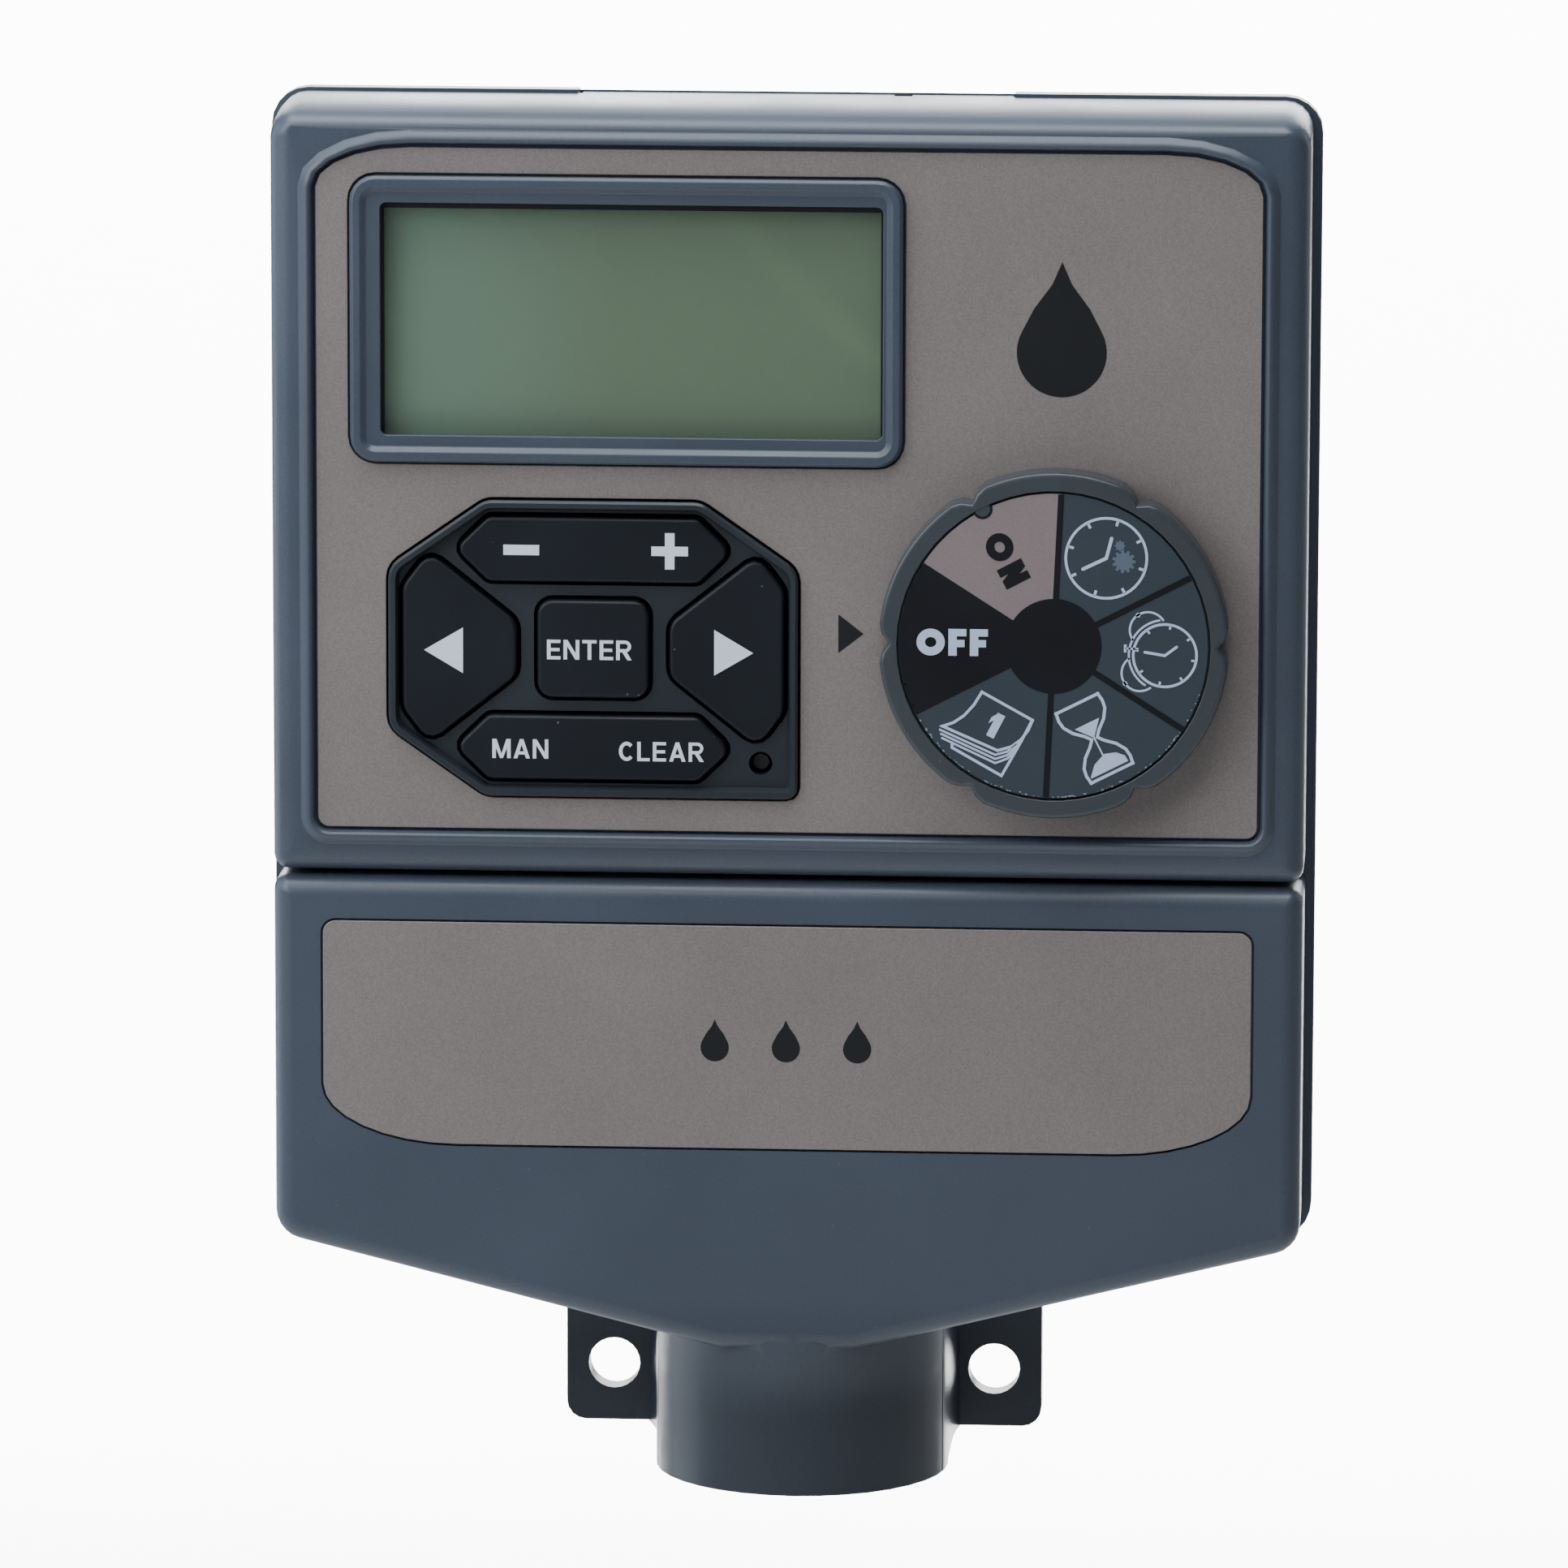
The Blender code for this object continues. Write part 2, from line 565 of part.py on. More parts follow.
# ---- back case ----------------------------------------------------------------------------------
def make_rear_case(mat):
    rim_y = PART_Y + RIM_DEPTH
    rings = [(pointed_outline(TOP_Z - RIM_DROP, TOP_CORNER, -RIM_PROUD), PART_Y),
             (pointed_outline(TOP_Z - RIM_DROP, TOP_CORNER, -RIM_PROUD), rim_y),
             (pointed_outline(TOP_Z, TOP_CORNER, 0.0), rim_y + RIM_PROUD),
             (pointed_outline(TOP_Z, TOP_CORNER, CASE_TAPER), 0.0)]
    case = loft("rear_case", rings, mat)
    fuse(case, tube_z("spigot_rear", SPIGOT_R, (SPIGOT_LOW_Z, SPIGOT_TOP_Z), mat))
    lugs = rounded_box(-LUG_HALF_WIDTH, LUG_HALF_WIDTH, LUG_LOW_Z, SPIGOT_TOP_Z,
                       (LUG_CORNER, LUG_CORNER), (0.5, 0.5), 4)
    fuse(case, plate("lug_plate", lugs, (-LUG_THICK, 0.0), mat))
    fuse(case, block("lug_root", (-LUG_HALF_WIDTH, LUG_HALF_WIDTH), (-LUG_ROOT_THICK, -WALL / 2),
                     (LUG_ROOT_Z, SPIGOT_TOP_Z), mat))
    fuse(case, loft_z("lug_web", [(LUG_WEB, SPIGOT_LOW_Z), (LUG_WEB, SPIGOT_TOP_Z)], mat))
    inner = [(pointed_outline(TOP_Z, TOP_CORNER, WALL), PART_Y - OVERCUT),
             (pointed_outline(TOP_Z, TOP_CORNER, WALL), rim_y),
             (pointed_outline(TOP_Z, TOP_CORNER, WALL + CASE_TAPER), -WALL)]
    cut(case, loft("case_hollow", inner, mat))
    cut(case, tube_z("spigot_bore_rear", SPIGOT_BORE_R, (SPIGOT_LOW_Z - OVERCUT, SPIGOT_TOP_Z + OVERCUT),
                     mat))
    divider_half = HALF_WIDTH - WALL / 2
    fuse(case, block("divider", (-divider_half, divider_half), DIVIDER_Y,
                     (-DIVIDER_HALF, DIVIDER_HALF), mat))
    for name, x, z, front_y in case_posts():
        fuse(case, plate(f"{name}_post", circle(x, z, POST_R, 16), (front_y, -WALL / 2), mat))
        cut(case, plate(f"{name}_pilot", circle(x, z, PILOT_R, 12),
                        (front_y - OVERCUT, front_y + PILOT_DEPTH), mat))
    cut(case, block("front_trim", (-HALF_WIDTH, HALF_WIDTH), (FACE_Y, PART_Y),
                    (SPIGOT_LOW_Z - OVERCUT, SIDE_LOW_Z), mat))
    for sign in (-1, 1):
        cut(case, plate(f"lug_hole_{sign}", circle(sign * LUG_HOLE_X, LUG_HOLE_Z, LUG_HOLE_R),
                        (-LUG_THICK - OVERCUT, OVERCUT), mat))
    mouth = math.degrees(math.acos(KEYHOLE_SLOT_R / KEYHOLE_R))
    keyhole = arc(0, KEYHOLE_Z, KEYHOLE_R, KEYHOLE_R, 180 - mouth, 360 + mouth, 20)
    keyhole += arc(0, KEYHOLE_SLOT_Z, KEYHOLE_SLOT_R, KEYHOLE_SLOT_R, 0, 180, 10)
    cut(case, plate("keyhole", keyhole, (-WALL - OVERCUT, OVERCUT), mat))
    cut(case, block("top_notch", (-NOTCH_HALF_WIDTH, NOTCH_HALF_WIDTH),
                    (PART_Y - OVERCUT, PART_Y + NOTCH_DEPTH),
                    (TOP_Z - WALL - OVERCUT, TOP_Z + RIM_PROUD + OVERCUT), mat))
    return case


def case_posts():
    """Name, x, z and front y of the four posts inside the back case."""
    board_front = BASE_BOARD_Y[1] + GAP
    clamp_front = CLAMP_Y[1] + GAP
    posts = []
    for side, sign in (("left", -1), ("right", 1)):
        posts.append((f"board_{side}", sign * BOARD_POST[0], BOARD_POST[1], board_front))
        posts.append((f"clamp_{side}", sign * CLAMP_POST_X, CLAMP_Z, clamp_front))
    return posts


def make_base_contents(board_mat, block_mat, metal, clamp_mat):
    x_low, x_high, z_low, z_high = BASE_BOARD
    posts = {name: (x, z) for name, x, z, _ in case_posts()}
    holes = [circle(*posts[name], PILOT_R + 0.1, 12) for name in ("board_left", "board_right")]
    plate("terminal_board", soft_box((x_low, x_high, z_low, z_high), 1.5), BASE_BOARD_Y, board_mat,
          holes)
    for name in ("board_left", "board_right"):
        x, z = posts[name]
        screw(f"{name}_screw", x, z, BASE_BOARD_Y[0] - GAP - HEAD_THICK, BASE_BOARD_Y[1] + SCREW_BITE,
              metal)
    half = TERMINALS * TERMINAL_PITCH / 2 + TERMINAL_END
    screws = [(index - (TERMINALS - 1) / 2) * TERMINAL_PITCH for index in range(TERMINALS)]
    wells = [circle(x, TERMINAL_SCREW_Z, TERMINAL_WELL_R, 12) for x in screws]
    plate("terminal_block", square_box(-half, half, *TERMINAL_BLOCK_Z), TERMINAL_BLOCK_Y, block_mat,
          wells)
    head_y = TERMINAL_BLOCK_Y[0] + TERMINAL_SUNK
    for index, x in enumerate(screws):
        screw(f"terminal_screw_{index + 1}", x, TERMINAL_SCREW_Z, head_y, head_y + TERMINAL_SCREW_LEN,
              metal, TERMINAL_SCREW_R, TERMINAL_SHANK_R)
    socket = plate("header_socket", square_box(*SOCKET), (SOCKET_FRONT_Y, BASE_BOARD_Y[0] - GAP), block_mat)
    cut(socket, plate("socket_slot", square_box(*SOCKET_SLOT), (SOCKET_FRONT_Y - OVERCUT, SOCKET_SLOT_Y),
                      block_mat))
    clamp_holes = [circle(*posts[name], PILOT_R + 0.1, 12) for name in ("clamp_left", "clamp_right")]
    clamp = soft_box((-CLAMP_HALF_WIDTH, CLAMP_HALF_WIDTH, CLAMP_Z - CLAMP_HALF_HEIGHT,
                      CLAMP_Z + CLAMP_HALF_HEIGHT), 2.5)
    plate("cable_clamp", clamp, CLAMP_Y, clamp_mat, clamp_holes)
    for name in ("clamp_left", "clamp_right"):
        x, z = posts[name]
        screw(f"{name}_screw", x, z, CLAMP_Y[0] - GAP - HEAD_THICK, CLAMP_Y[1] + SCREW_BITE, metal)


# ---- control panel --------------------------------------------------------------------------------
def rounding(steps=4):
    """Pairs of (inset, y) round the housing's front edge, from the side to the front."""
    pairs = []
    for step in range(steps + 1):
        angle = math.pi / 2 * step / steps
        pairs.append((FRONT_ROUND * (1 - math.cos(angle)), FACE_Y + FRONT_ROUND * (1 - math.sin(angle))))
    return pairs


def crown(y):
    """How far the panel's top has dropped at depth y, on its way over to the front."""
    ahead = max(0.0, 1 - (y - FACE_Y) / CROWN_DEPTH)
    return FRONT_ROUND * (1 - math.sqrt(1 - ahead ** 2))


def make_front_case(mat):
    rings = [(panel_outline(), PART_Y - GAP)]
    rings += [(panel_outline(0.0, crown(y)), y)
              for y in (FACE_Y + CROWN_DEPTH * part for part in (1.0, 0.7, 0.45))]
    rings += [(panel_outline(inset, crown(y)), y) for inset, y in rounding()]
    rings += [(label_outline(out), FACE_Y - height) for out, height in BEAD_STEPS]
    rings.append((label_outline(GAP), LABEL_FLOOR_Y))
    case = loft("front_case", rings, mat)
    inner_y = LABEL_FLOOR_Y + SKIN
    through = (BEZEL_STEPS[2][1] - OVERCUT, inner_y + OVERCUT)
    cut(case, plate("panel_hollow", panel_outline(WALL), (inner_y, PART_Y + OVERCUT), mat))
    fuse(case, loft("bezel_frame",
                    [(soft_box(BEZEL, BEZEL_CORNER, -inset), y) for inset, y in BEZEL_STEPS], mat))
    for index, (x, z) in enumerate(panel_screws()):
        fuse(case, plate(f"panel_post_{index}", circle(x, z, POST_R, 16),
                         (inner_y - SKIN / 2, PANEL_POST_Y), mat))
        cut(case, plate(f"panel_pilot_{index}", circle(x, z, PILOT_R, 12),
                        (PANEL_PILOT_Y, PANEL_POST_Y + OVERCUT), mat))
    cut(case, plate("window_hole", soft_box(WINDOW, WINDOW_CORNER), through, mat))
    cut(case, plate("lens_pocket", soft_box(WINDOW, WINDOW_CORNER, LENS_EDGE + GAP),
                    (LENS_FRONT_Y - GAP, through[1]), mat))
    cut(case, plate("pad_hole", pad_outline(GAP), through, mat))
    cut(case, plate("shaft_hole", circle(DIAL_X, DIAL_Z, SHAFT_HOLE_R, 20), through, mat))
    ledge_y = (PART_Y - WALL, PART_Y + NOTCH_DEPTH - GAP)
    edge = NOTCH_HALF_WIDTH - GAP
    for name, low, high in (("ledge_left", -edge, LEDGE_GAP_X - LEDGE_GAP_HALF),
                            ("ledge_right", LEDGE_GAP_X + LEDGE_GAP_HALF, edge)):
        fuse(case, block(name, (low, high), ledge_y, (TOP_Z - LEDGE_THICK, TOP_Z - LEDGE_DROP), mat))
    return case


def panel_screws():
    return [(sign * PANEL_SCREW_X, z) for z in PANEL_SCREW_Z for sign in (-1, 1)]


def make_panel(case_mat, label_mat, pad_mat, lens_mat, glass_mat, board_mat, dark, metal, rubber,
               battery_mat):
    pieces = [make_front_case(case_mat)]
    label_y = (LABEL_FLOOR_Y - GAP - LABEL_THICK, LABEL_FLOOR_Y - GAP)
    pieces.append(plate("fascia_label", label_outline(), label_y, label_mat,
                        [soft_box(BEZEL, BEZEL_CORNER, GAP), pad_outline(GAP),
                         circle(DIAL_X, DIAL_Z, LABEL_SHAFT_HOLE_R, 20)]))
    pieces.append(plate("lcd_window", soft_box(WINDOW, WINDOW_CORNER, LENS_EDGE),
                        (LENS_FRONT_Y, LENS_FRONT_Y + LENS_THICK), lens_mat))
    pieces.append(plate("lcd_glass", soft_box(WINDOW, 0.4, GLASS_EDGE), GLASS_Y, glass_mat))
    pieces.append(plate("lcd_holder", soft_box(WINDOW, 0.4, GLASS_EDGE + HOLDER_EDGE + GAP),
                        (GLASS_Y[0], HOLDER_BACK_Y), dark,
                        [soft_box(WINDOW, 0.4, GLASS_EDGE + GAP)]))
    pieces.append(block("lcd_contact_strip", (WINDOW[0], WINDOW[1]), (GLASS_Y[1] + GAP, BOARD_Y[0] - GAP),
                        (WINDOW[2] - 2.0, WINDOW[2] + 0.4), rubber))
    pieces.append(make_keypad_bezel(pad_mat))
    pieces.append(plate("keypad_mat", pad_outline(-MAT_INSET), MAT_Y, rubber, key_holes(GAP)))
    pieces.append(plate("main_board", soft_box(BOARD, 2.0), BOARD_Y, board_mat))
    parts_y = BOARD_Y[1] + GAP
    pieces.append(plate("microcontroller", square_box(*CHIP), (parts_y, parts_y + CHIP_THICK), dark))
    pieces.append(plate("watch_crystal", square_box(*CRYSTAL), (parts_y, parts_y + CRYSTAL_THICK), metal))
    switch = (DIAL_X - SWITCH_HALF, DIAL_X + SWITCH_HALF, DIAL_Z - SWITCH_HALF, DIAL_Z + SWITCH_HALF)
    pieces.append(plate("dial_switch", soft_box(switch, 2.0), (SWITCH_FRONT_Y, BOARD_Y[0] - GAP), dark,
                        [circle(DIAL_X, DIAL_Z, SHAFT_R + GAP, 20)]))
    half = RESET_SWITCH_HALF
    pieces.append(plate("reset_switch", square_box(RESET_X - half, RESET_X + half, RESET_Z - half,
                                                   RESET_Z + half), (RESET_SWITCH_Y, BOARD_Y[0] - GAP), dark))
    pieces.append(make_plug(metal))
    pieces.append(make_panel_back(case_mat))
    pieces.append(make_battery(battery_mat))
    pieces.append(block("battery_snap", SNAP_X, SNAP_Y, (BATTERY_Z - SNAP_HALF_Z, BATTERY_Z + SNAP_HALF_Z),
                        dark))
    for index, (x, z) in enumerate(panel_screws()):
        pieces.append(screw(f"panel_screw_{index + 1}", x, z, PANEL_SCREW_HEAD_Y, PANEL_SCREW_TIP_Y, metal))
    attach("panel_slide", (0, PART_Y, TOP_Z / 2), pieces)


def key_holes(grow):
    """Outlines of the holes round the five keys, grown by grow, and of the reset hole."""
    return [rocker_outline(1, grow), rocker_outline(-1, grow), arrow_outline(1, grow),
            arrow_outline(-1, grow), enter_outline(grow), circle(RESET_X, RESET_Z, RESET_R, 16)]


def make_keypad_bezel(mat):
    bezel = loft("keypad_bezel", [(pad_outline(-inset), y) for inset, y in PAD_STEPS], mat)
    flange_out, flange_thick = PAD_FLANGE
    flange_y = (PAD_BACK_Y - 0.1, PAD_BACK_Y + flange_thick)
    fuse(bezel, plate("pad_flange", pad_outline(flange_out), flange_y, mat))
    for index, hole in enumerate(key_holes(KEY_GAP)):
        cut(bezel, plate(f"pad_cut_{index}", hole, (PAD_RIM_Y - OVERCUT, flange_y[1] + OVERCUT), mat))
    return bezel


def make_plug(mat):
    bar_end, bar_half_z = PLUG_BAR
    bar_half = PLUG_PINS * PLUG_PITCH / 2 + bar_end
    plug = block("header_plug", (-bar_half, bar_half), (BOARD_Y[1] + GAP, PLUG_BAR_Y),
                 (PLUG_Z - bar_half_z, PLUG_Z + bar_half_z), mat)
    for index in range(PLUG_PINS):
        x = (index - (PLUG_PINS - 1) / 2) * PLUG_PITCH
        fuse(plug, block(f"plug_pin_{index}", (x - PIN_HALF, x + PIN_HALF),
                         (PLUG_BAR_Y - PIN_HALF, PLUG_TIP_Y), (PLUG_Z - PIN_HALF, PLUG_Z + PIN_HALF), mat))
    return plug


def cradle_bounds(grow):
    half_z = BATTERY[2] / 2 + grow
    return (-BATTERY[0] / 2 - grow, SNAP_X[1] + grow, BATTERY_Z - half_z, BATTERY_Z + half_z)


def make_panel_back(mat):
    holes = [circle(x, z, PILOT_R, 12) for x, z in panel_screws()]
    holes.append(square_box(*PLUG_OPENING))
    back = plate("panel_back", panel_outline(WALL + GAP), BACK_PLATE_Y, mat, holes)
    cradle = plate("battery_cradle", soft_box(cradle_bounds(GAP + CRADLE_WALL), 1.0),
                   (BACK_PLATE_Y[1] - 0.5, CRADLE_BACK_Y), mat, [soft_box(cradle_bounds(GAP), 0.5)])
    fuse(back, cradle)
    return back


def make_battery(mat):
    length, depth, height = BATTERY
    front_y = BACK_PLATE_Y[1] + GAP
    bounds = (-length / 2, length / 2 - BATTERY_END_GAP, BATTERY_Z - height / 2, BATTERY_Z + height / 2)
    return plate("battery", soft_box(bounds, 2.0), (front_y, front_y + depth), mat)


# ---- keys, dial and reset ---------------------------------------------------------------------------
def make_key(name, outline_of, pivot, mat):
    """A rubber key with a softly rounded front, its origin at pivot."""
    rings = [(outline_of(0.0), KEY_BACK_Y), (outline_of(0.0), KEY_FRONT_Y + KEY_ROUND),
             (outline_of(-KEY_ROUND * 0.3), KEY_FRONT_Y + KEY_ROUND * 0.3),
             (outline_of(-KEY_ROUND), KEY_FRONT_Y)]
    return loft(name, rings, mat, pivot)


def make_pill(name, x, z, mat):
    back = KEY_BACK_Y + GAP
    return plate(name, circle(x, z, PILL_R, 14), (back, back + PILL_THICK), mat, origin=(x, back, z))


def make_keys(key_mat, pill_mat):
    arrow_x = (ARROW_OUT_X + ARROW_IN[0]) / 2
    make_key("key_enter", enter_outline, (PAD_X, KEY_BACK_Y, PAD_Z), key_mat)
    make_pill("contact_enter", PAD_X, PAD_Z, pill_mat)
    for name, sign in (("right", 1), ("left", -1)):
        x = PAD_X + sign * arrow_x
        make_key(f"key_{name}", lambda grow, s=sign: arrow_outline(s, grow),
                 (x, KEY_BACK_Y, PAD_Z), key_mat)
        make_pill(f"contact_{name}", x, PAD_Z, pill_mat)
    for name, sign, ends in (("minus_plus", 1, ("minus", "plus")), ("man_clear", -1, ("man", "clear"))):
        z = PAD_Z + sign * ROCKER_Z
        pivot = (PAD_X, ROCKER_PIVOT_Y, z)
        pieces = [make_key(f"key_{name}", lambda grow, s=sign: rocker_outline(s, grow), pivot, key_mat)]
        for end, side in zip(ends, (-1, 1)):
            pieces.append(make_pill(f"contact_{end}", PAD_X + side * PILL_REACH, z, pill_mat))
        attach(f"{name}_pivot", pivot, pieces)


def make_dial(knob_mat, disc_mat, shaft_mat):
    knob = loft("dial_knob", [(dial_outline(), DIAL_BACK_Y), (dial_outline(), DIAL_FRONT_Y + 0.6),
                              (dial_outline(0.2), DIAL_FRONT_Y + 0.2), (dial_outline(0.7), DIAL_FRONT_Y)],
                knob_mat, (DIAL_X, DIAL_BACK_Y, DIAL_Z))
    cut(knob, plate("disc_recess", circle(DIAL_X, DIAL_Z, DIAL_DISC_R + GAP, 54),
                    (DIAL_FRONT_Y - OVERCUT, DIAL_FLOOR_Y), knob_mat))
    hollow_y = (DIAL_FLOOR_Y + DIAL_WEB, DIAL_BACK_Y + OVERCUT)
    cut(knob, plate("knob_hollow", circle(DIAL_X, DIAL_Z, DIAL_HOLLOW_R, 36), hollow_y, knob_mat,
                    [circle(DIAL_X, DIAL_Z, DIAL_HUB_R, 20)]))
    cut(knob, plate("hub_bore", circle(DIAL_X, DIAL_Z, SHAFT_R + GAP, 20), hollow_y, knob_mat))
    disc_y = DIAL_FLOOR_Y - GAP
    disc = plate("dial_disc", circle(DIAL_X, DIAL_Z, DIAL_DISC_R, 54), (disc_y - LABEL_THICK, disc_y),
                 disc_mat, origin=(DIAL_X, disc_y, DIAL_Z))
    shaft = plate("dial_shaft", circle(DIAL_X, DIAL_Z, SHAFT_R, 20),
                  (hollow_y[0] + GAP, BOARD_Y[0] - 3 * GAP), shaft_mat,
                  origin=(DIAL_X, DIAL_BACK_Y, DIAL_Z))
    attach("dial_axis", (DIAL_X, DIAL_BACK_Y, DIAL_Z), [knob, disc, shaft])


def make_reset(mat):
    plate("reset_plunger", circle(RESET_X, RESET_Z, RESET_STEM_R, 14), RESET_Y, mat,
          origin=(RESET_X, RESET_Y[0], RESET_Z))


# ---- wiring cover -----------------------------------------------------------------------------------
def make_cover(case_mat, label_mat):
    back_y = PART_Y - GAP
    top = -GAP
    rings = [(pointed_outline(top, SEAM_CORNER), back_y)]
    rings += [(pointed_outline(top, SEAM_CORNER, inset), y) for inset, y in rounding()]
    cover = loft("lower_cover", rings, case_mat)
    fuse(cover, blended_spigot("spigot_front", case_mat))
    cut(cover, plate("cover_hollow", pointed_outline(top, SEAM_CORNER, WALL),
                     (LABEL_FLOOR_Y + SKIN, PART_Y + OVERCUT), case_mat))
    cut(cover, tube_z("spigot_bore_front", SPIGOT_BORE_R,
                      (SPIGOT_LOW_Z - OVERCUT, SPIGOT_TOP_Z + OVERCUT), case_mat))
    cut(cover, plate("label_pocket", low_label_outline(GAP), (FACE_Y - OVERCUT, LABEL_FLOOR_Y), case_mat))
    cut(cover, block("back_trim", (-HALF_WIDTH, HALF_WIDTH), (back_y, OVERCUT),
                     (SPIGOT_LOW_Z - OVERCUT, SIDE_LOW_Z), case_mat))
    for sign in (-1, 1):
        root_x = sorted((sign * HOOK_X, sign * (HALF_WIDTH - WALL / 2)))
        arm_x = sorted((sign * HOOK_X, sign * (HOOK_X + HOOK_THICK)))
        fuse(cover, block(f"hook_root_{sign}", root_x, HOOK_ROOT_Y, HOOK_Z, case_mat))
        fuse(cover, block(f"hook_arm_{sign}", arm_x, (HOOK_ROOT_Y[0], HOOK_TIP_Y), HOOK_Z, case_mat))
    label_y = (LABEL_FLOOR_Y - GAP - LABEL_THICK, LABEL_FLOOR_Y - GAP)
    label = plate("lower_label", low_label_outline(), label_y, label_mat)
    attach("cover_slide", (0, PART_Y, BOTTOM_Z / 2), [cover, label])


def main():
    clear_scene()
    case_mat = material("case_plastic", (0.075, 0.095, 0.125), 0.45)
    label_mat = material("label_film", (0.27, 0.24, 0.22), 0.42, 0.3)
    pad_mat = material("keypad_plastic", (0.03, 0.035, 0.04), 0.5)
    key_mat = material("key_rubber", (0.012, 0.015, 0.02), 0.55)
    pill_mat = material("carbon", (0.01, 0.01, 0.01), 0.8)
    dark = material("dark_plastic", (0.02, 0.02, 0.022), 0.5)
    lens_mat = material("clear_lens", (0.8, 0.85, 0.85), 0.05)
    glass_mat = material("lcd", (0.14, 0.2, 0.14), 0.15)
    board_mat = material("circuit_board", (0.02, 0.12, 0.05), 0.45)
    metal = material("plated_steel", (0.6, 0.6, 0.58), 0.3, 1.0)
    rubber = material("silicone", (0.03, 0.03, 0.033), 0.6)
    green = material("terminal_plastic", (0.02, 0.16, 0.07), 0.4)
    battery_mat = material("battery_case", (0.05, 0.05, 0.055), 0.35, 0.4)
    knob_mat = material("knob_plastic", (0.06, 0.065, 0.065), 0.42)
    disc_mat = material("dial_print", (0.05, 0.07, 0.08), 0.4)

    make_rear_case(case_mat)
    make_base_contents(board_mat, green, metal, dark)
    make_panel(case_mat, label_mat, pad_mat, lens_mat, glass_mat, board_mat, dark, metal, rubber,
               battery_mat)
    make_keys(key_mat, pill_mat)
    make_dial(knob_mat, disc_mat, metal)
    make_reset(dark)
    make_cover(case_mat, label_mat)


main()
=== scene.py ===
"""Looks for the wall-mounted irrigation controller: refined shells, prints, materials, light."""
import json
import math
import random

import bmesh
import bpy
from mathutils import Matrix, Vector


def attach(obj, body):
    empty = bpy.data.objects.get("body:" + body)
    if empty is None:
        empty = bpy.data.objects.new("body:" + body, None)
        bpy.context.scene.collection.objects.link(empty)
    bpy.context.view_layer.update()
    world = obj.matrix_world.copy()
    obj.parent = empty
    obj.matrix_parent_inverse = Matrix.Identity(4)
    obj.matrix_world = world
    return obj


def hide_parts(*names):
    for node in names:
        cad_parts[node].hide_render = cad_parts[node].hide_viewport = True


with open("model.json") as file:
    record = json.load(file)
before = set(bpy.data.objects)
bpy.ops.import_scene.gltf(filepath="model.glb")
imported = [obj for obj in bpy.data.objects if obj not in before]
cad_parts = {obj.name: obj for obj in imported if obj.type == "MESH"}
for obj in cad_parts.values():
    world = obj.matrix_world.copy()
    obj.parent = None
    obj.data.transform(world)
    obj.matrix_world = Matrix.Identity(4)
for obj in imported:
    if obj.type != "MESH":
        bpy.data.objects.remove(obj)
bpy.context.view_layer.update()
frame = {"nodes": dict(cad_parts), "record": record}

NODES = frame["nodes"]
RECORD = frame["record"]
BODY_OF = {node: body for body, names in RECORD["behaviour"]["bodies"].items() for node in names}
SLOT_OF = {entry["node"]: entry["material_slot"] for entry in RECORD["subparts"]}
MM = 0.001

# Dimensions that the prints need, in millimetres, in the CAD frame: +X right, -Y to the front, +Z up.
LABEL_FRONT_Y = -44.1
DISC_FRONT_Y = -48.8
KEY_FRONT_Y = -44.6
INK = 0.03                   # thickness of a print
LAYER = 0.001                # step that keeps overlapping shapes of one print apart
DIAL_X, DIAL_Z = 33.6, 31.2
DISC_R = 19.3
HUB_R = 6.0
LENS_FRONT_Y = -43.3
WINDOW = (-51.0, 11.9, 56.2, 85.5)       # x low, x high, z low, z high


# ---- node materials -------------------------------------------------------------------------------
NOISE_SPAN = (0.3, 0.7)      # the part of a noise's range that is used
BLOTCHES_PER_METRE = 45.0
SPECKS_PER_METRE = 420.0
SPECK_EDGE = (0.035, 0.06)   # a speck fades out between these distances, in cells
PATCHES_PER_METRE = 210.0
PATCH_SPAN = (0.5, 0.62)     # only where this noise is high do specks show
DUST_COLOUR = (0.35, 0.38, 0.42)
GRAIN_STRENGTH = 0.6


def new_material(name):
    mat = bpy.data.materials.new(name)
    mat.use_nodes = True
    return mat, mat.node_tree, mat.node_tree.nodes["Principled BSDF"]


def noise_node(tree, scale, detail=2.0, roughness=0.5):
    coords = tree.nodes.new("ShaderNodeTexCoord")
    node = tree.nodes.new("ShaderNodeTexNoise")
    node.inputs["Scale"].default_value = scale
    node.inputs["Detail"].default_value = detail
    node.inputs["Roughness"].default_value = roughness
    tree.links.new(coords.outputs["Object"], node.inputs["Vector"])
    return node


def map_range(tree, source, low, high, to_low, to_high):
    node = tree.nodes.new("ShaderNodeMapRange")
    node.inputs["From Min"].default_value = low
    node.inputs["From Max"].default_value = high
    node.inputs["To Min"].default_value = to_low
    node.inputs["To Max"].default_value = to_high
    tree.links.new(source, node.inputs["Value"])
    return node.outputs["Result"]


def scaled_colour(tree, colour, factor):
    """The colour multiplied by a varying factor near 1."""
    node = tree.nodes.new("ShaderNodeVectorMath")
    node.operation = "SCALE"
    node.inputs[0].default_value = colour
    tree.links.new(factor, node.inputs["Scale"])
    return node.outputs["Vector"]


def multiply(tree, first, second):
    node = tree.nodes.new("ShaderNodeMath")
    node.operation = "MULTIPLY"
    tree.links.new(first, node.inputs[0])
    tree.links.new(second, node.inputs[1])
    return node.outputs[0]


def mixed_colour(tree, factor, base, other):
    node = tree.nodes.new("ShaderNodeMix")
    node.data_type = "RGBA"
    tree.links.new(factor, node.inputs["Factor"])
    tree.links.new(base, node.inputs["A"])
    node.inputs["B"].default_value = (*other, 1.0)
    return node.outputs["Result"]


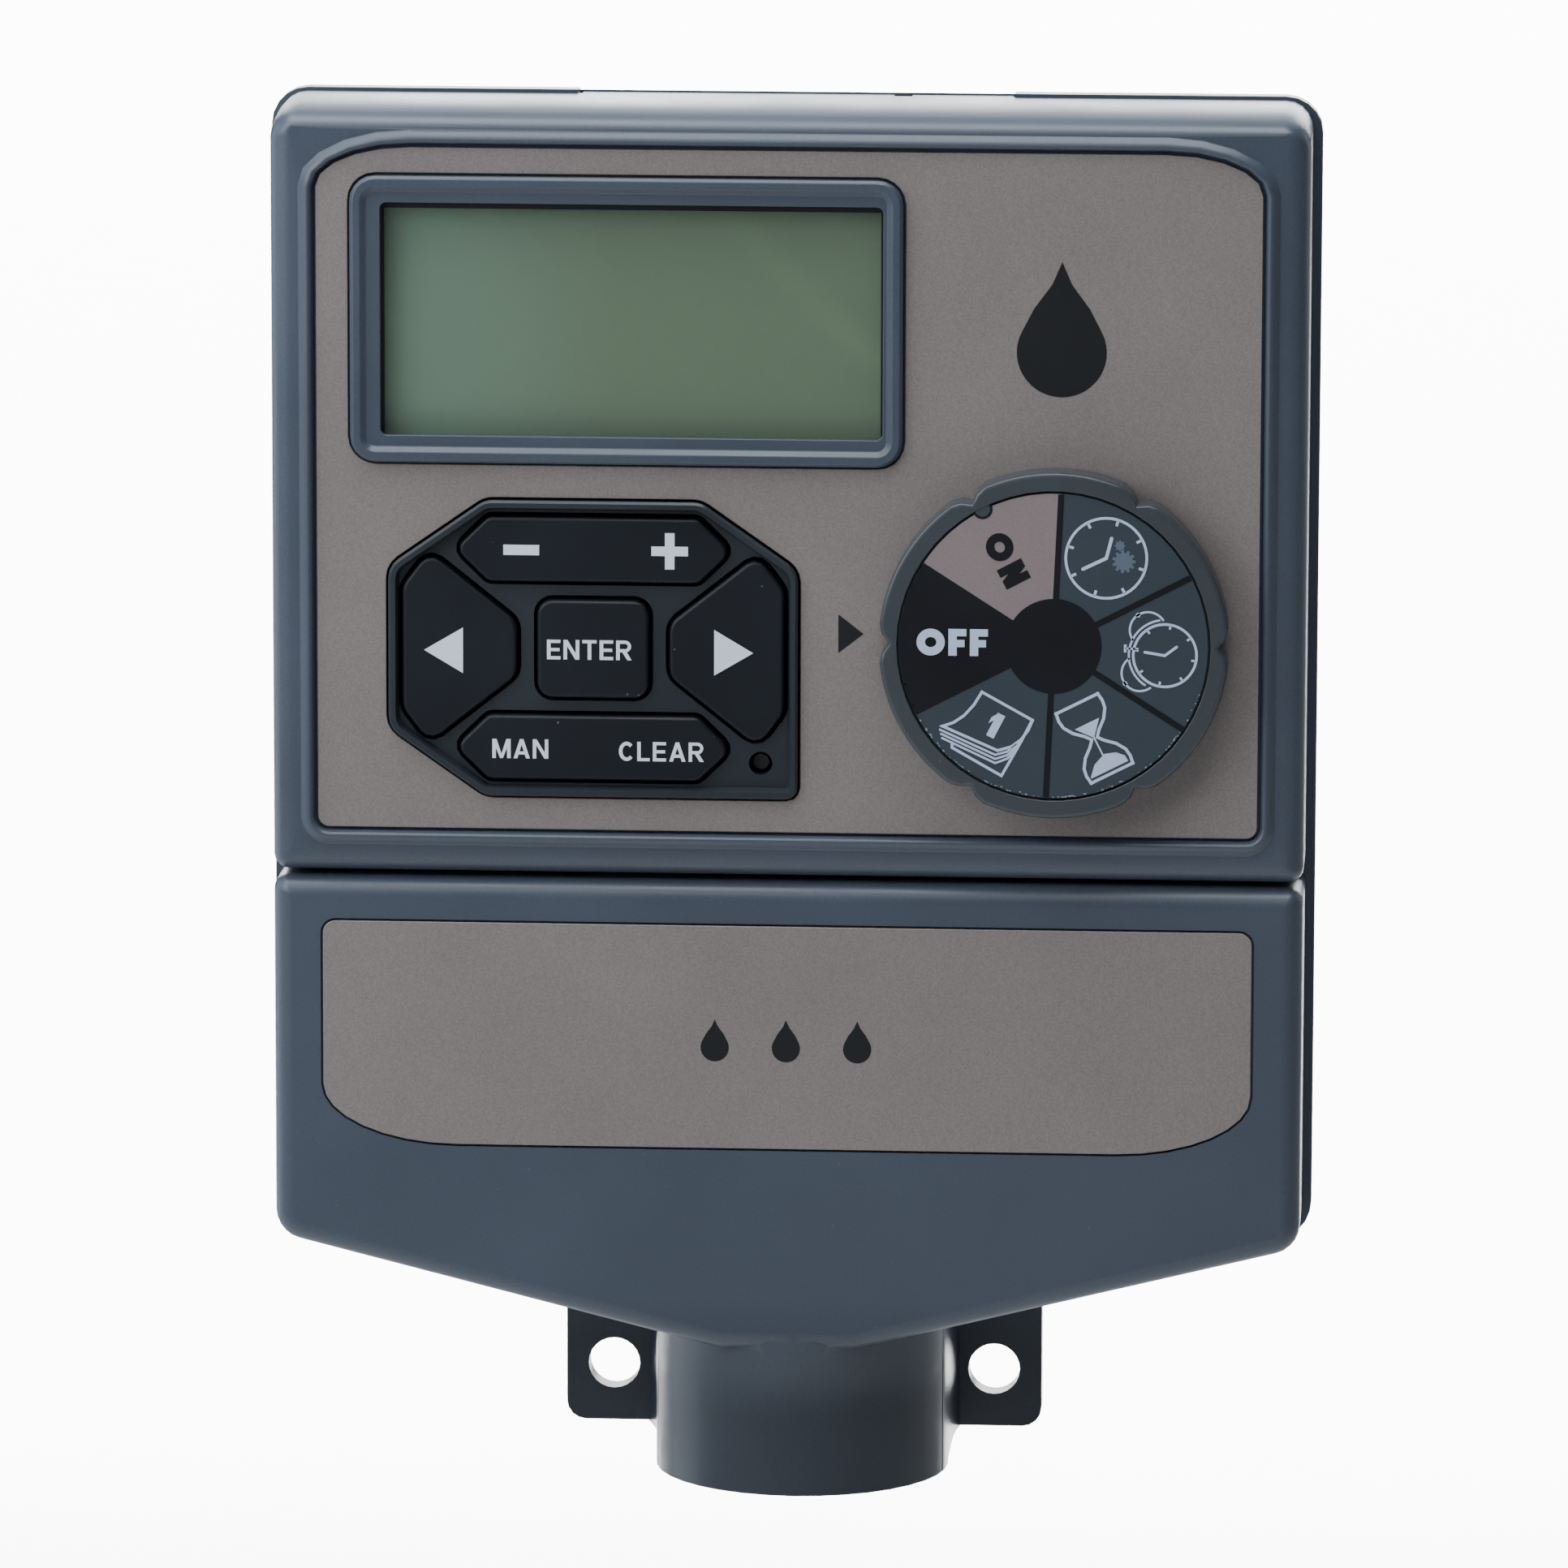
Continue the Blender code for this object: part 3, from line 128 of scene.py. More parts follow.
def object_axes(tree):
    """The surface point's X, Y and Z in metres; every piece is drawn in the CAD frame."""
    coords = tree.nodes.new("ShaderNodeTexCoord")
    axes = tree.nodes.new("ShaderNodeSeparateXYZ")
    tree.links.new(coords.outputs["Object"], axes.inputs["Vector"])
    return axes.outputs


def surface(name, colour, roughness, grain=0.25, grain_depth=0.006, grain_colour=0.05, blotch=0.05,
            rough_span=0.06, metallic=0.0, specular=0.5, dust=0.0, painted_light_ramp=None):
    """Moulded, printed or plated stuff.

    grain and grain_depth are in mm.  grain_colour and blotch are the spread of the fine and the slow
    shade, rough_span that of the roughness, and dust is how strongly pale specks show.  The last
    argument, (low z, high z, factor) in metres, paints shade: from high z down to low z the shade drops to
    the factor.
    """
    mat, tree, shader = new_material(name)
    fine = noise_node(tree, 1.0 / (grain * MM), 1.5, 0.6)
    slow = noise_node(tree, BLOTCHES_PER_METRE, 3.0, 0.55)
    fine_shade = map_range(tree, fine.outputs["Fac"], *NOISE_SPAN, 1 - grain_colour, 1 + grain_colour)
    slow_shade = map_range(tree, slow.outputs["Fac"], *NOISE_SPAN, 1 - blotch, 1 + blotch)
    strength = multiply(tree, fine_shade, slow_shade)
    # Painted shade: the colour darkens towards low z, where less light falls.
    if painted_light_ramp:
        low, high, factor = painted_light_ramp
        strength = multiply(tree, strength,
                            map_range(tree, object_axes(tree)["Z"], low, high, factor, 1.0))
    shade = scaled_colour(tree, colour, strength)
    if dust > 0:
        cells = tree.nodes.new("ShaderNodeTexVoronoi")
        cells.inputs["Scale"].default_value = SPECKS_PER_METRE
        coords = tree.nodes.new("ShaderNodeTexCoord")
        tree.links.new(coords.outputs["Object"], cells.inputs["Vector"])
        speck = map_range(tree, cells.outputs["Distance"], *SPECK_EDGE, dust, 0.0)
        patch = noise_node(tree, PATCHES_PER_METRE, 0.0)
        some = map_range(tree, patch.outputs["Fac"], *PATCH_SPAN, 0.0, 1.0)
        shade = mixed_colour(tree, multiply(tree, speck, some), shade, DUST_COLOUR)
    tree.links.new(shade, shader.inputs["Base Color"])
    rough = map_range(tree, slow.outputs["Fac"], *NOISE_SPAN, roughness - rough_span,
                      roughness + rough_span)
    tree.links.new(rough, shader.inputs["Roughness"])
    shader.inputs["Metallic"].default_value = metallic
    shader.inputs["Specular IOR Level"].default_value = specular
    bump = tree.nodes.new("ShaderNodeBump")
    bump.inputs["Strength"].default_value = GRAIN_STRENGTH
    bump.inputs["Distance"].default_value = grain_depth * MM
    tree.links.new(fine.outputs["Fac"], bump.inputs["Height"])
    tree.links.new(bump.outputs["Normal"], shader.inputs["Normal"])
    return mat


def lens_material(name):
    """Clear window: a thin reflection and an even, slightly hazy film."""
    mat, tree, shader = new_material(name)
    haze = noise_node(tree, 25.0, 2.0, 0.5)
    shader.inputs["Base Color"].default_value = (0.5, 0.58, 0.55, 1.0)
    shader.inputs["Alpha"].default_value = 0.05
    rough = map_range(tree, haze.outputs["Fac"], 0.2, 0.8, 0.1, 0.14)
    tree.links.new(rough, shader.inputs["Roughness"])
    return mat


def reflection_streak(tree, start, end, width, strength):
    """A painted reflection: a value that peaks on the line from start to end, (x, z) in mm, and fades away
    beside it.
    """
    coords = tree.nodes.new("ShaderNodeTexCoord")
    along = (Vector(end) - Vector(start)).normalized()
    across = Vector((-along.y, 0.0, along.x))
    reach = tree.nodes.new("ShaderNodeVectorMath")
    reach.operation = "DOT_PRODUCT"
    reach.inputs[1].default_value = across
    tree.links.new(coords.outputs["Object"], reach.inputs[0])
    middle = across.dot(Vector((start[0], 0.0, start[1]))) * MM
    rise = map_range(tree, reach.outputs["Value"], middle - width * MM, middle, 0.0, strength)
    fall = map_range(tree, reach.outputs["Value"], middle, middle + width * MM, 1.0, 0.0)
    return multiply(tree, rise, fall)


# Painted reflections on the display, as light streaks: start and end (x, z) and width in mm, and strength.
REFLECTION_STREAKS = (((-9.5, 85.4), (11.9, 64.9), 2.4, 0.13), ((2.0, 71.5), (11.7, 65.7), 0.9, 0.07))
REFLECTION_STREAK_FADE = 4.0                        # mm left and right of the start over which a streak sets in
DISPLAY_GRAIN = 0.3                      # mm
DISPLAY_LOW = (0.0565, 0.0595, 0.72)     # low z and high z in metres, and the factor along the bottom
# The left colour is lighter and bluer than the right one: painted light from the left.
DISPLAY_TURN = (-0.048, -0.022)          # metres: x where the left colour gives way to the right one


def display_material(name, left, right):
    """The display's film: lighter and bluer at the left end, which is painted light from the left; darker
    along the bottom; with two faint streaks of painted reflection.
    """
    mat, tree, shader = new_material(name)
    axes = object_axes(tree)
    grain = noise_node(tree, 1.0 / (DISPLAY_GRAIN * MM), 1.0, 0.6)
    shade = map_range(tree, grain.outputs["Fac"], *NOISE_SPAN, 0.95, 1.05)
    low, high, factor = DISPLAY_LOW
    shade = multiply(tree, shade, map_range(tree, axes["Z"], low, high, factor, 1.0))
    # Painted reflections: each streak lightens the film along its line.
    for start, end, width, strength in REFLECTION_STREAKS:
        painted_reflection = reflection_streak(tree, start, end, width, strength)
        painted_light_ramp = map_range(tree, axes["X"], (start[0] - REFLECTION_STREAK_FADE) * MM,
                         (start[0] + REFLECTION_STREAK_FADE) * MM, 0.0, 1.0)
        lighten = tree.nodes.new("ShaderNodeMath")
        lighten.operation = "ADD"
        lighten.inputs[1].default_value = 1.0
        tree.links.new(multiply(tree, painted_reflection, painted_light_ramp), lighten.inputs[0])
        shade = multiply(tree, shade, lighten.outputs[0])
    # Painted light: the lighter, bluer left colour gives way to the right one along x.
    colour = tree.nodes.new("ShaderNodeMix")
    colour.data_type = "RGBA"
    colour.inputs["A"].default_value = (*right, 1.0)
    colour.inputs["B"].default_value = (*left, 1.0)
    tree.links.new(map_range(tree, axes["X"], *DISPLAY_TURN, 1.0, 0.0), colour.inputs["Factor"])
    tint = tree.nodes.new("ShaderNodeVectorMath")
    tint.operation = "SCALE"
    tree.links.new(colour.outputs["Result"], tint.inputs[0])
    tree.links.new(shade, tint.inputs["Scale"])
    tree.links.new(tint.outputs["Vector"], shader.inputs["Base Color"])
    shader.inputs["Roughness"].default_value = 0.35
    return mat


MATERIALS = {
    # The case plastic is darker from z -0.054 m down to -0.070 m: painted shade on the spigot and the
    # lugs.
    "case_plastic": surface("case_plastic", (0.055, 0.070, 0.097), 0.36, 0.25, 0.006, 0.08, 0.04,
                            dust=0.10, painted_light_ramp=(-0.070, -0.054, 0.45)),
    "label_film": surface("label_film", (0.215, 0.187, 0.180), 0.47, 0.2, 0.004, 0.14, 0.03,
                          metallic=0.1),
    "keypad_plastic": surface("keypad_plastic", (0.016, 0.022, 0.029), 0.42, 0.2, 0.006, 0.06, 0.08),
    "key_rubber": surface("key_rubber", (0.0036, 0.0060, 0.0105), 0.5, 0.15, 0.008, 0.1, 0.12,
                          specular=0.35, dust=0.5),
    "carbon": surface("carbon", (0.01, 0.01, 0.01), 0.8, 0.1),
    "dark_plastic": surface("dark_plastic", (0.018, 0.019, 0.021), 0.5, 0.2),
    "clear_lens": lens_material("clear_lens"),
    "lcd": display_material("lcd", (0.106, 0.186, 0.120), (0.086, 0.136, 0.070)),
    "circuit_board": surface("circuit_board", (0.018, 0.11, 0.05), 0.4, 0.5, 0.01, 0.1, 0.1),
    "plated_steel": surface("plated_steel", (0.6, 0.6, 0.58), 0.3, 0.1, 0.002, 0.05, 0.05, metallic=1.0),
    "silicone": surface("silicone", (0.03, 0.03, 0.033), 0.6, 0.2),
    "terminal_plastic": surface("terminal_plastic", (0.02, 0.15, 0.07), 0.4, 0.2),
    "battery_case": surface("battery_case", (0.05, 0.05, 0.055), 0.35, 0.2, metallic=0.4),
    "knob_plastic": surface("knob_plastic", (0.044, 0.053, 0.062), 0.28, 0.2, 0.006, 0.06, 0.06, dust=0.2),
    "dial_print": surface("dial_print", (0.037, 0.051, 0.065), 0.42, 0.16, 0.003, 0.10, 0.04,
                          specular=0.3),
    "dial_black": surface("dial_black", (0.0055, 0.0062, 0.0095), 0.45, 0.16, 0.003, 0.08, 0.05,
                          specular=0.3),
    "dial_tan": surface("dial_tan", (0.22, 0.180, 0.182), 0.45, 0.16, 0.003, 0.10, 0.03,
                        specular=0.3),
    "white_ink": surface("white_ink", (0.74, 0.83, 0.95), 0.5, 0.12, 0.001, 0.05, 0.02),
    "icon_ink": surface("icon_ink", (0.50, 0.59, 0.80), 0.5, 0.12, 0.001, 0.05, 0.02),
    "dim_ink": surface("dim_ink", (0.10, 0.13, 0.18), 0.5, 0.12, 0.001, 0.05, 0.02),
    "black_ink": surface("black_ink", (0.009, 0.010, 0.013), 0.45, 0.12, 0.001, 0.06, 0.04,
                         specular=0.35),
    "worn_edge": surface("worn_edge", (0.30, 0.34, 0.36), 0.6, 0.1, 0.002, 0.1, 0.05),
}


# ---- refined copies of CAD nodes ------------------------------------------------------------------
def place(piece, node, mat, *replaced):
    """Link a piece with the given material, attach it to a CAD node's body and hide the nodes that it
    replaces.
    """
    bpy.context.scene.collection.objects.link(piece)
    piece.data.materials.clear()
    piece.data.materials.append(mat)
    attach(piece, BODY_OF[node])
    if replaced:
        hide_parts(*replaced)


def smooth_by_angle(build, degrees):
    """Smooth shading, but for the edges that turn by the angle or more."""
    limit = math.radians(degrees)
    for face in build.faces:
        face.smooth = True
    for edge in build.edges:
        edge.smooth = len(edge.link_faces) == 2 and edge.calc_face_angle(0.0) < limit


def refine(node, name, bevel=0.12, segments=2, angle=33.0):
    """A copy of a CAD solid with its edges eased and its curves shaded smooth."""
    build = bmesh.new()
    build.from_mesh(NODES[node].data)
    bmesh.ops.remove_doubles(build, verts=build.verts, dist=0.002 * MM)
    bmesh.ops.dissolve_limit(build, angle_limit=math.radians(0.5), verts=build.verts, edges=build.edges)
    smooth_by_angle(build, angle)
    mesh = bpy.data.meshes.new(name)
    build.to_mesh(mesh)
    build.free()
    piece = bpy.data.objects.new(name, mesh)
    place(piece, node, MATERIALS[SLOT_OF[node]], node)
    rounding = piece.modifiers.new("eased_edges", "BEVEL")
    rounding.width = bevel * MM
    rounding.segments = segments
    rounding.limit_method = "ANGLE"
    rounding.angle_limit = math.radians(angle)
    rounding.use_clamp_overlap = True
    rounding.harden_normals = True
    weights = piece.modifiers.new("flat_faces", "WEIGHTED_NORMAL")
    weights.keep_sharp = True


# ---- outlines: points (x, z) in mm ------------------------------------------------------------------
def arc(x, z, radius, start, end, steps, squash=1.0):
    """Points on an arc between two angles; squash scales its width."""
    angles = [math.radians(start + (end - start) * step / steps) for step in range(steps + 1)]
    return [(x + radius * squash * math.cos(angle), z + radius * math.sin(angle)) for angle in angles]


def circle(x, z, radius, steps=32):
    return arc(x, z, radius, 0, 360, steps)[:-1]


def bar(x_low, z_low, x_high, z_high):
    return [(x_low, z_low), (x_high, z_low), (x_high, z_high), (x_low, z_high)]


def turned(points, centre, degrees):
    """Local points turned anticlockwise and moved to centre."""
    cosine, sine = math.cos(math.radians(degrees)), math.sin(math.radians(degrees))
    return [(centre[0] + x * cosine - z * sine, centre[1] + x * sine + z * cosine) for x, z in points]


def signed_area(outline):
    pairs = zip(outline, outline[1:] + outline[:1])
    return sum(here[0] * after[1] - after[0] * here[1] for here, after in pairs) / 2


def stroke(points, width, closed=False):
    """The quads of a stroke of even width along points, with mitred joints."""
    count = len(points)
    sides = []
    for index in range(count):
        here = Vector(points[index])
        first = second = None
        if closed or index:
            first = (here - Vector(points[index - 1])).normalized()
        if closed or index < count - 1:
            second = (Vector(points[(index + 1) % count]) - here).normalized()
        along = ((first or second) + (second or first)).normalized()
        across = Vector((-along.y, along.x))
        reference = first or second
        reach = width / 2 / max(0.35, across.dot(Vector((-reference.y, reference.x))))
        sides.append((here + across * reach, here - across * reach))
    quads = []
    for index in range(count if closed else count - 1):
        left, right = sides[index]
        next_left, next_right = sides[(index + 1) % count]
        quads.append([tuple(right), tuple(next_right), tuple(next_left), tuple(left)])
    return quads


# ---- prints: thin plates in the XZ plane ------------------------------------------------------------
class Print:
    """Flat shapes of one ink on the plane y = back_y, gathered into one piece."""

    def __init__(self, back_y):
        self.build = bmesh.new()
        self.back_y = back_y

    def prism(self, outline, lift=0.0):
        """A plate as thick as the ink; lift moves it to the front."""
        if signed_area(outline) < 0:
            outline = outline[::-1]
        back, front = ([self.build.verts.new((x * MM, y * MM, z * MM)) for x, z in outline]
                       for y in (self.back_y - lift, self.back_y - INK - lift))
        self.build.faces.new(back[::-1])
        self.build.faces.new(front)
        for index in range(len(outline)):
            after = (index + 1) % len(outline)
            self.build.faces.new((front[after], front[index], back[index], back[after]))

    def band(self, points, width, closed=False, lift=0.0):
        for quad in stroke(points, width, closed):
            self.prism(quad, lift)

    def dot(self, x, z, radius, steps=20, lift=0.0):
        self.prism(circle(x, z, radius, steps), lift)

    def ring(self, x, z, radius, width, start=0.0, end=360.0, steps=48):
        full = abs(end - start) >= 360.0
        points = arc(x, z, radius, start, end, steps)
        self.band(points[:-1] if full else points, width, full)

    def line(self, points, width, lift=0.0):
        """An open stroke with round ends and joints."""
        self.band(points, width, lift=lift)
        for x, z in points:
            self.dot(x, z, width / 2, 12, lift + 2 * LAYER)

    def text(self, letters, centre, height, weight, gap=0.14, degrees=0.0):
        """Block capitals, centred, with a capital height and a stroke width in mm."""
        weight /= height
        widths = [LETTER_WIDTHS[letter] for letter in letters]
        start = -(sum(widths) + gap * (len(letters) - 1)) / 2
        for letter, width in zip(letters, widths):
            for index, shape in enumerate(letter_shapes(letter, width, weight)):
                local = [((start + x) * height, (z - 0.5) * height) for x, z in shape]
                self.prism(turned(local, centre, degrees), 4 * LAYER * min(index, 4))
            start += width + gap

    def finish(self, name, node, mat):
        """Turn the shapes into a piece that belongs with a CAD node."""
        mesh = bpy.data.meshes.new(name)
        self.build.to_mesh(mesh)
        self.build.free()
        place(bpy.data.objects.new(name, mesh), node, mat)


# ---- block capitals -----------------------------------------------------------------------------------
LETTER_WIDTHS = {"A": 0.84, "C": 0.80, "E": 0.68, "F": 0.66, "L": 0.64, "M": 0.94, "N": 0.80, "O": 1.04,
                 "R": 0.78, "T": 0.72, "1": 0.46}


def letter_shapes(letter, wide, pen):
    """Polygons of one block capital in a box 1 high, drawn with strokes as wide as the pen."""
    beam = pen * 0.88                    # level strokes are a little thinner
    middle = wide / 2
    stem = bar(0, 0, pen, 1)
    right_stem = bar(wide - pen, 0, wide, 1)
    foot, head = bar(0, 0, wide, beam), bar(0, 1 - beam, wide, 1)
    bow_radius = (1 - pen) / 2
    bow_squash = (wide - pen) / (1 - pen)
    shapes = {
        "E": [stem, foot, bar(0, 0.5 - beam / 2, wide * 0.93, 0.5 + beam / 2), head],
        "F": [stem, bar(0, 0.46 - beam / 2, wide * 0.9, 0.46 + beam / 2), head],
        "L": [stem, foot],
        "T": [bar((wide - pen) / 2, 0, (wide + pen) / 2, 1), head],
        "N": [stem, right_stem, [(0, 1), (wide - pen * 1.1, 0), (wide, 0), (pen * 1.1, 1)]],
        "M": [stem, right_stem,
              [(0, 1), (middle - pen * 0.4, 0), (middle + pen * 0.4, 0), (pen * 1.2, 1)],
              [(wide, 1), (middle + pen * 0.4, 0), (middle - pen * 0.4, 0), (wide - pen * 1.2, 1)]],
        "A": [[(0, 0), (pen * 1.08, 0), (middle + pen * 0.5, 1), (middle - pen * 0.5, 1)],
              [(wide, 0), (wide - pen * 1.08, 0), (middle - pen * 0.5, 1), (middle + pen * 0.5, 1)],
              bar(wide * 0.22, 0.2, wide * 0.78, 0.2 + beam)],
        "1": [bar(wide - pen * 1.15, 0, wide, 1),
              [(wide - pen, 1), (0, 0.72), (0, 0.72 - pen * 0.95), (wide - pen, 1 - pen * 0.95)]],
        "C": stroke(arc(wide * 0.52, 0.5, bow_radius, 42, 318, 16, bow_squash), pen),
        "O": stroke(arc(middle, 0.5, bow_radius, 0, 360, 28, bow_squash)[:-1], pen, True),
        "R": [stem, bar(0, 1 - beam, wide * 0.6, 1), bar(0, 0.4, wide * 0.6, 0.4 + beam),
              [(wide * 0.36, 0.45), (wide - pen * 1.15, 0), (wide, 0), (wide * 0.36 + pen * 1.25, 0.45)]],
    }[letter]
    if letter == "R":
        shapes += stroke(arc(wide * 0.58, 0.7, 0.3 - beam / 2, 90, -90, 10), beam)
    return shapes


# ---- keys' legends ----------------------------------------------------------------------------------
def make_legends():
    """The signs, arrows and words on the keys; each print moves with its key."""
    ink = MATERIALS["white_ink"]
    signs = Print(KEY_FRONT_Y)
    signs.prism(bar(-35.6, 41.2, -31.1, 42.5))
    signs.prism(bar(-17.0, 41.3, -12.4, 42.5))
    signs.prism(bar(-15.3, 39.6, -14.1, 44.2), 2 * LAYER)
    signs.finish("legend_signs", "key_minus_plus", ink)
    left = Print(KEY_FRONT_Y)
    left.prism([(-45.6, 29.0), (-40.7, 26.1), (-40.7, 31.9)])
    left.finish("legend_left", "key_left", ink)
    right = Print(KEY_FRONT_Y)
    right.prism([(-4.2, 29.1), (-9.1, 32.0), (-9.1, 26.2)])
    right.finish("legend_right", "key_right", ink)
    enter = Print(KEY_FRONT_Y)
    enter.text("ENTER", (-24.8, 29.25), height=2.5, weight=0.46, gap=0.15)
    enter.finish("legend_enter", "key_enter", ink)
    low = Print(KEY_FRONT_Y)
    low.text("MAN", (-33.5, 16.55), height=2.45, weight=0.44, gap=0.15)
    low.text("CLEAR", (-15.75, 16.4), height=2.45, weight=0.44, gap=0.16)
    low.finish("legend_low", "key_man_clear", ink)


# ---- dial face ----------------------------------------------------------------------------------------
DIAL = (DIAL_X, DIAL_Z)
DISC_TURN = -2.5             # the printed sectors sit turned by this many degrees
SPOKE_WIDTH = 0.75           # black lines between the sectors
TAB_ANGLE = 117.5            # where the knob's little key reaches into the disc
FLECKS = 90                  # worn spots on the disc's rim
WORN_ARC = (195, 345)        # degrees
FLECK_SIZE = (0.03, 0.11)


def sector(start, inner, outer):
    """Half of a sixth of the dial, 30 degrees wide."""
    start += DISC_TURN
    return arc(*DIAL, outer, start, start + 30, 14) + arc(*DIAL, inner, start + 30, start, 6)


def make_dial_face():
    """The sectors, words and icons printed on the disc, which all turn with it."""
    black = Print(DISC_FRONT_Y)
    for start in (150, 180):
        black.prism(sector(start, HUB_R - 1.0, DISC_R - 0.05))
    black.dot(*DIAL, HUB_R, 60, 4 * LAYER)
    for angle in (-90, -30, 30, 90):
        spoke = turned([(HUB_R - 0.5, 0.0), (DISC_R - 0.1, 0.0)], DIAL, angle + DISC_TURN)
        black.band(spoke, SPOKE_WIDTH, lift=6 * LAYER)
    black.finish("dial_black_print", "dial_disc", MATERIALS["dial_black"])
    tan = Print(DISC_FRONT_Y)
    for start in (90, 120):
        tan.prism(sector(start, HUB_R - 0.8, DISC_R - 0.05), LAYER)
    tan.finish("dial_tan_print", "dial_disc", MATERIALS["dial_tan"])

    face_y = DISC_FRONT_Y - INK - 4 * LAYER
    off = Print(face_y)
    off.text("OFF", (DIAL_X - 12.65, DIAL_Z + 0.35), height=3.4, weight=1.05, gap=0.13)
    off.finish("dial_off", "dial_disc", MATERIALS["icon_ink"])
    on = Print(face_y)
    on.text("ON", (DIAL_X - 6.0, DIAL_Z + 10.95), height=3.4, weight=1.05, gap=0.2, degrees=-62)
    on.finish("dial_on", "dial_disc", MATERIALS["dial_black"])

    icons = Print(DISC_FRONT_Y)
    clock_icon(icons)
    alarm_icon(icons)
    hourglass_icon(icons)
    calendar_icon(icons)
    icons.finish("dial_icons", "dial_disc", MATERIALS["icon_ink"])
    gears = Print(DISC_FRONT_Y)
    gear(gears, (DIAL_X + 8.7, DIAL_Z + 10.8), 1.45, 11)
    gear(gears, (DIAL_X + 8.2, DIAL_Z + 12.8), 0.7, 8)
    gears.finish("dial_gears", "dial_disc", MATERIALS["dim_ink"])
    worn_rim()


def ticks(ink, centre, radius, length, width, first):
    """Eight short marks that point inwards from a radius, the first one at an angle."""
    for index in range(8):
        angle = first + 45 * index
        ink.band(turned([(radius - length, 0), (radius, 0)], centre, angle), width)


def gear(ink, centre, radius, teeth):
    """A toothed wheel seen from the front."""
    ink.dot(*centre, radius * 0.76, 20)
    for index in range(teeth):
        tooth = [(radius * 0.6, -radius * 0.17), (radius, -radius * 0.12), (radius, radius * 0.12),
                 (radius * 0.6, radius * 0.17)]
        ink.prism(turned(tooth, centre, 360 / teeth * index), 2 * LAYER)


def clock_icon(ink):
    """A round clock; the small gears beside its hands are a print of their own."""
    centre = (DIAL_X + 6.5, DIAL_Z + 11.2)
    ink.ring(*centre, 5.05, 0.33)
    ticks(ink, centre, 4.95, 0.7, 0.34, 28)
    ink.line(turned([(-2.9, -1.4), (0.0, 0.0), (0.65, 2.5)], centre, 0), 0.42)


def alarm_icon(ink):
    """A twin-bell alarm clock lying on its side."""
    centre = (DIAL_X + 13.9, DIAL_Z - 1.0)
    ink.ring(*centre, 3.95, 0.32)
    ink.ring(*centre, 4.5, 0.26, 98, 238, 24)
    ticks(ink, centre, 3.85, 0.5, 0.28, 35)
    ink.line(turned([(-2.5, 0.4), (0.0, 0.0), (1.45, 1.1)], centre, 0), 0.34)
    ink.band(turned([(-3.3, 0.8), (-4.9, 0.85)], centre, 0), 0.26)
    ink.band(turned([(-4.95, 0.35), (-4.95, 1.35)], centre, 0), 0.34)
    for angle in (123.6, 216.0):
        bell = turned([(3.85, 0.0)], centre, angle)[0]
        ink.ring(*bell, 2.27, 0.26, angle - 92, angle + 92, 22)
        ink.dot(*turned([(6.1, 0.0)], centre, angle)[0], 0.3, 12)


def hourglass_icon(ink):
    """A leaning hourglass with sand in both halves and a thread of it between."""
    centre = (DIAL_X + 5.2, DIAL_Z - 11.6)
    tilt = 27
    profile = [(0.38, 0.0), (1.0, 0.75), (2.15, 1.75), (2.9, 2.9), (3.05, 3.9), (2.9, 4.9)]
    right = [(x, -z) for x, z in profile[:0:-1]] + profile
    outline = right + [(-x, z) for x, z in right[::-1]]
    ink.band(turned(outline, centre, tilt), 0.38, True)
    for x, z in turned([(2.9, 4.9), (-2.9, 4.9), (2.9, -4.9), (-2.9, -4.9)], centre, tilt):
        ink.dot(x, z, 0.24, 12, 2 * LAYER)
    ink.prism(turned([(-1.7, 2.1), (0.0, 0.1), (1.7, 2.1)], centre, tilt), 3 * LAYER)
    sand = [(-2.6, -4.4), (2.5, -4.4), (2.45, -3.6), (1.6, -2.75), (0.2, -2.3), (-1.5, -3.0),
            (-2.6, -4.2)]
    ink.prism(turned(sand, centre, tilt), 3 * LAYER)
    ink.band(turned([(0, 0.2), (0, -2.5)], centre, tilt), 0.2, lift=4 * LAYER)


def calendar_icon(ink):
    """A tear-off block with a curled top sheet."""
    sheet = [(-8.9, -5.9), (-2.55, -9.4), (-3.1, -10.7), (-4.0, -11.9), (-5.2, -12.8), (-6.9, -13.3),
             (-13.8, -10.3), (-12.4, -9.8), (-11.1, -8.9), (-9.9, -7.55)]
    ink.band(turned(sheet, DIAL, 0), 0.34, True)
    for x, z in turned([sheet[0], sheet[1], sheet[6]], DIAL, 0):
        ink.dot(x, z, 0.2, 12, 2 * LAYER)
    for drop in (0.5, 1.02, 1.55):
        edge = [(-14.25 + 0.25 * drop, -10.25 - drop), (-7.2, -13.35 - drop),
                (-5.7, -13.0 - 0.85 * drop), (-4.4, -12.1 - 0.6 * drop)]
        ink.line(turned(edge, DIAL, 0), 0.26)
    block = [(-12.6, -12.4), (-12.6, -13.0), (-6.4, -16.5), (-3.9, -12.0), (-2.7, -9.6)]
    ink.line(turned(block, DIAL, 0), 0.34, LAYER)
    ink.text("1", (DIAL_X - 7.35, DIAL_Z - 10.05), height=3.2, weight=0.9, gap=0.0, degrees=-27)


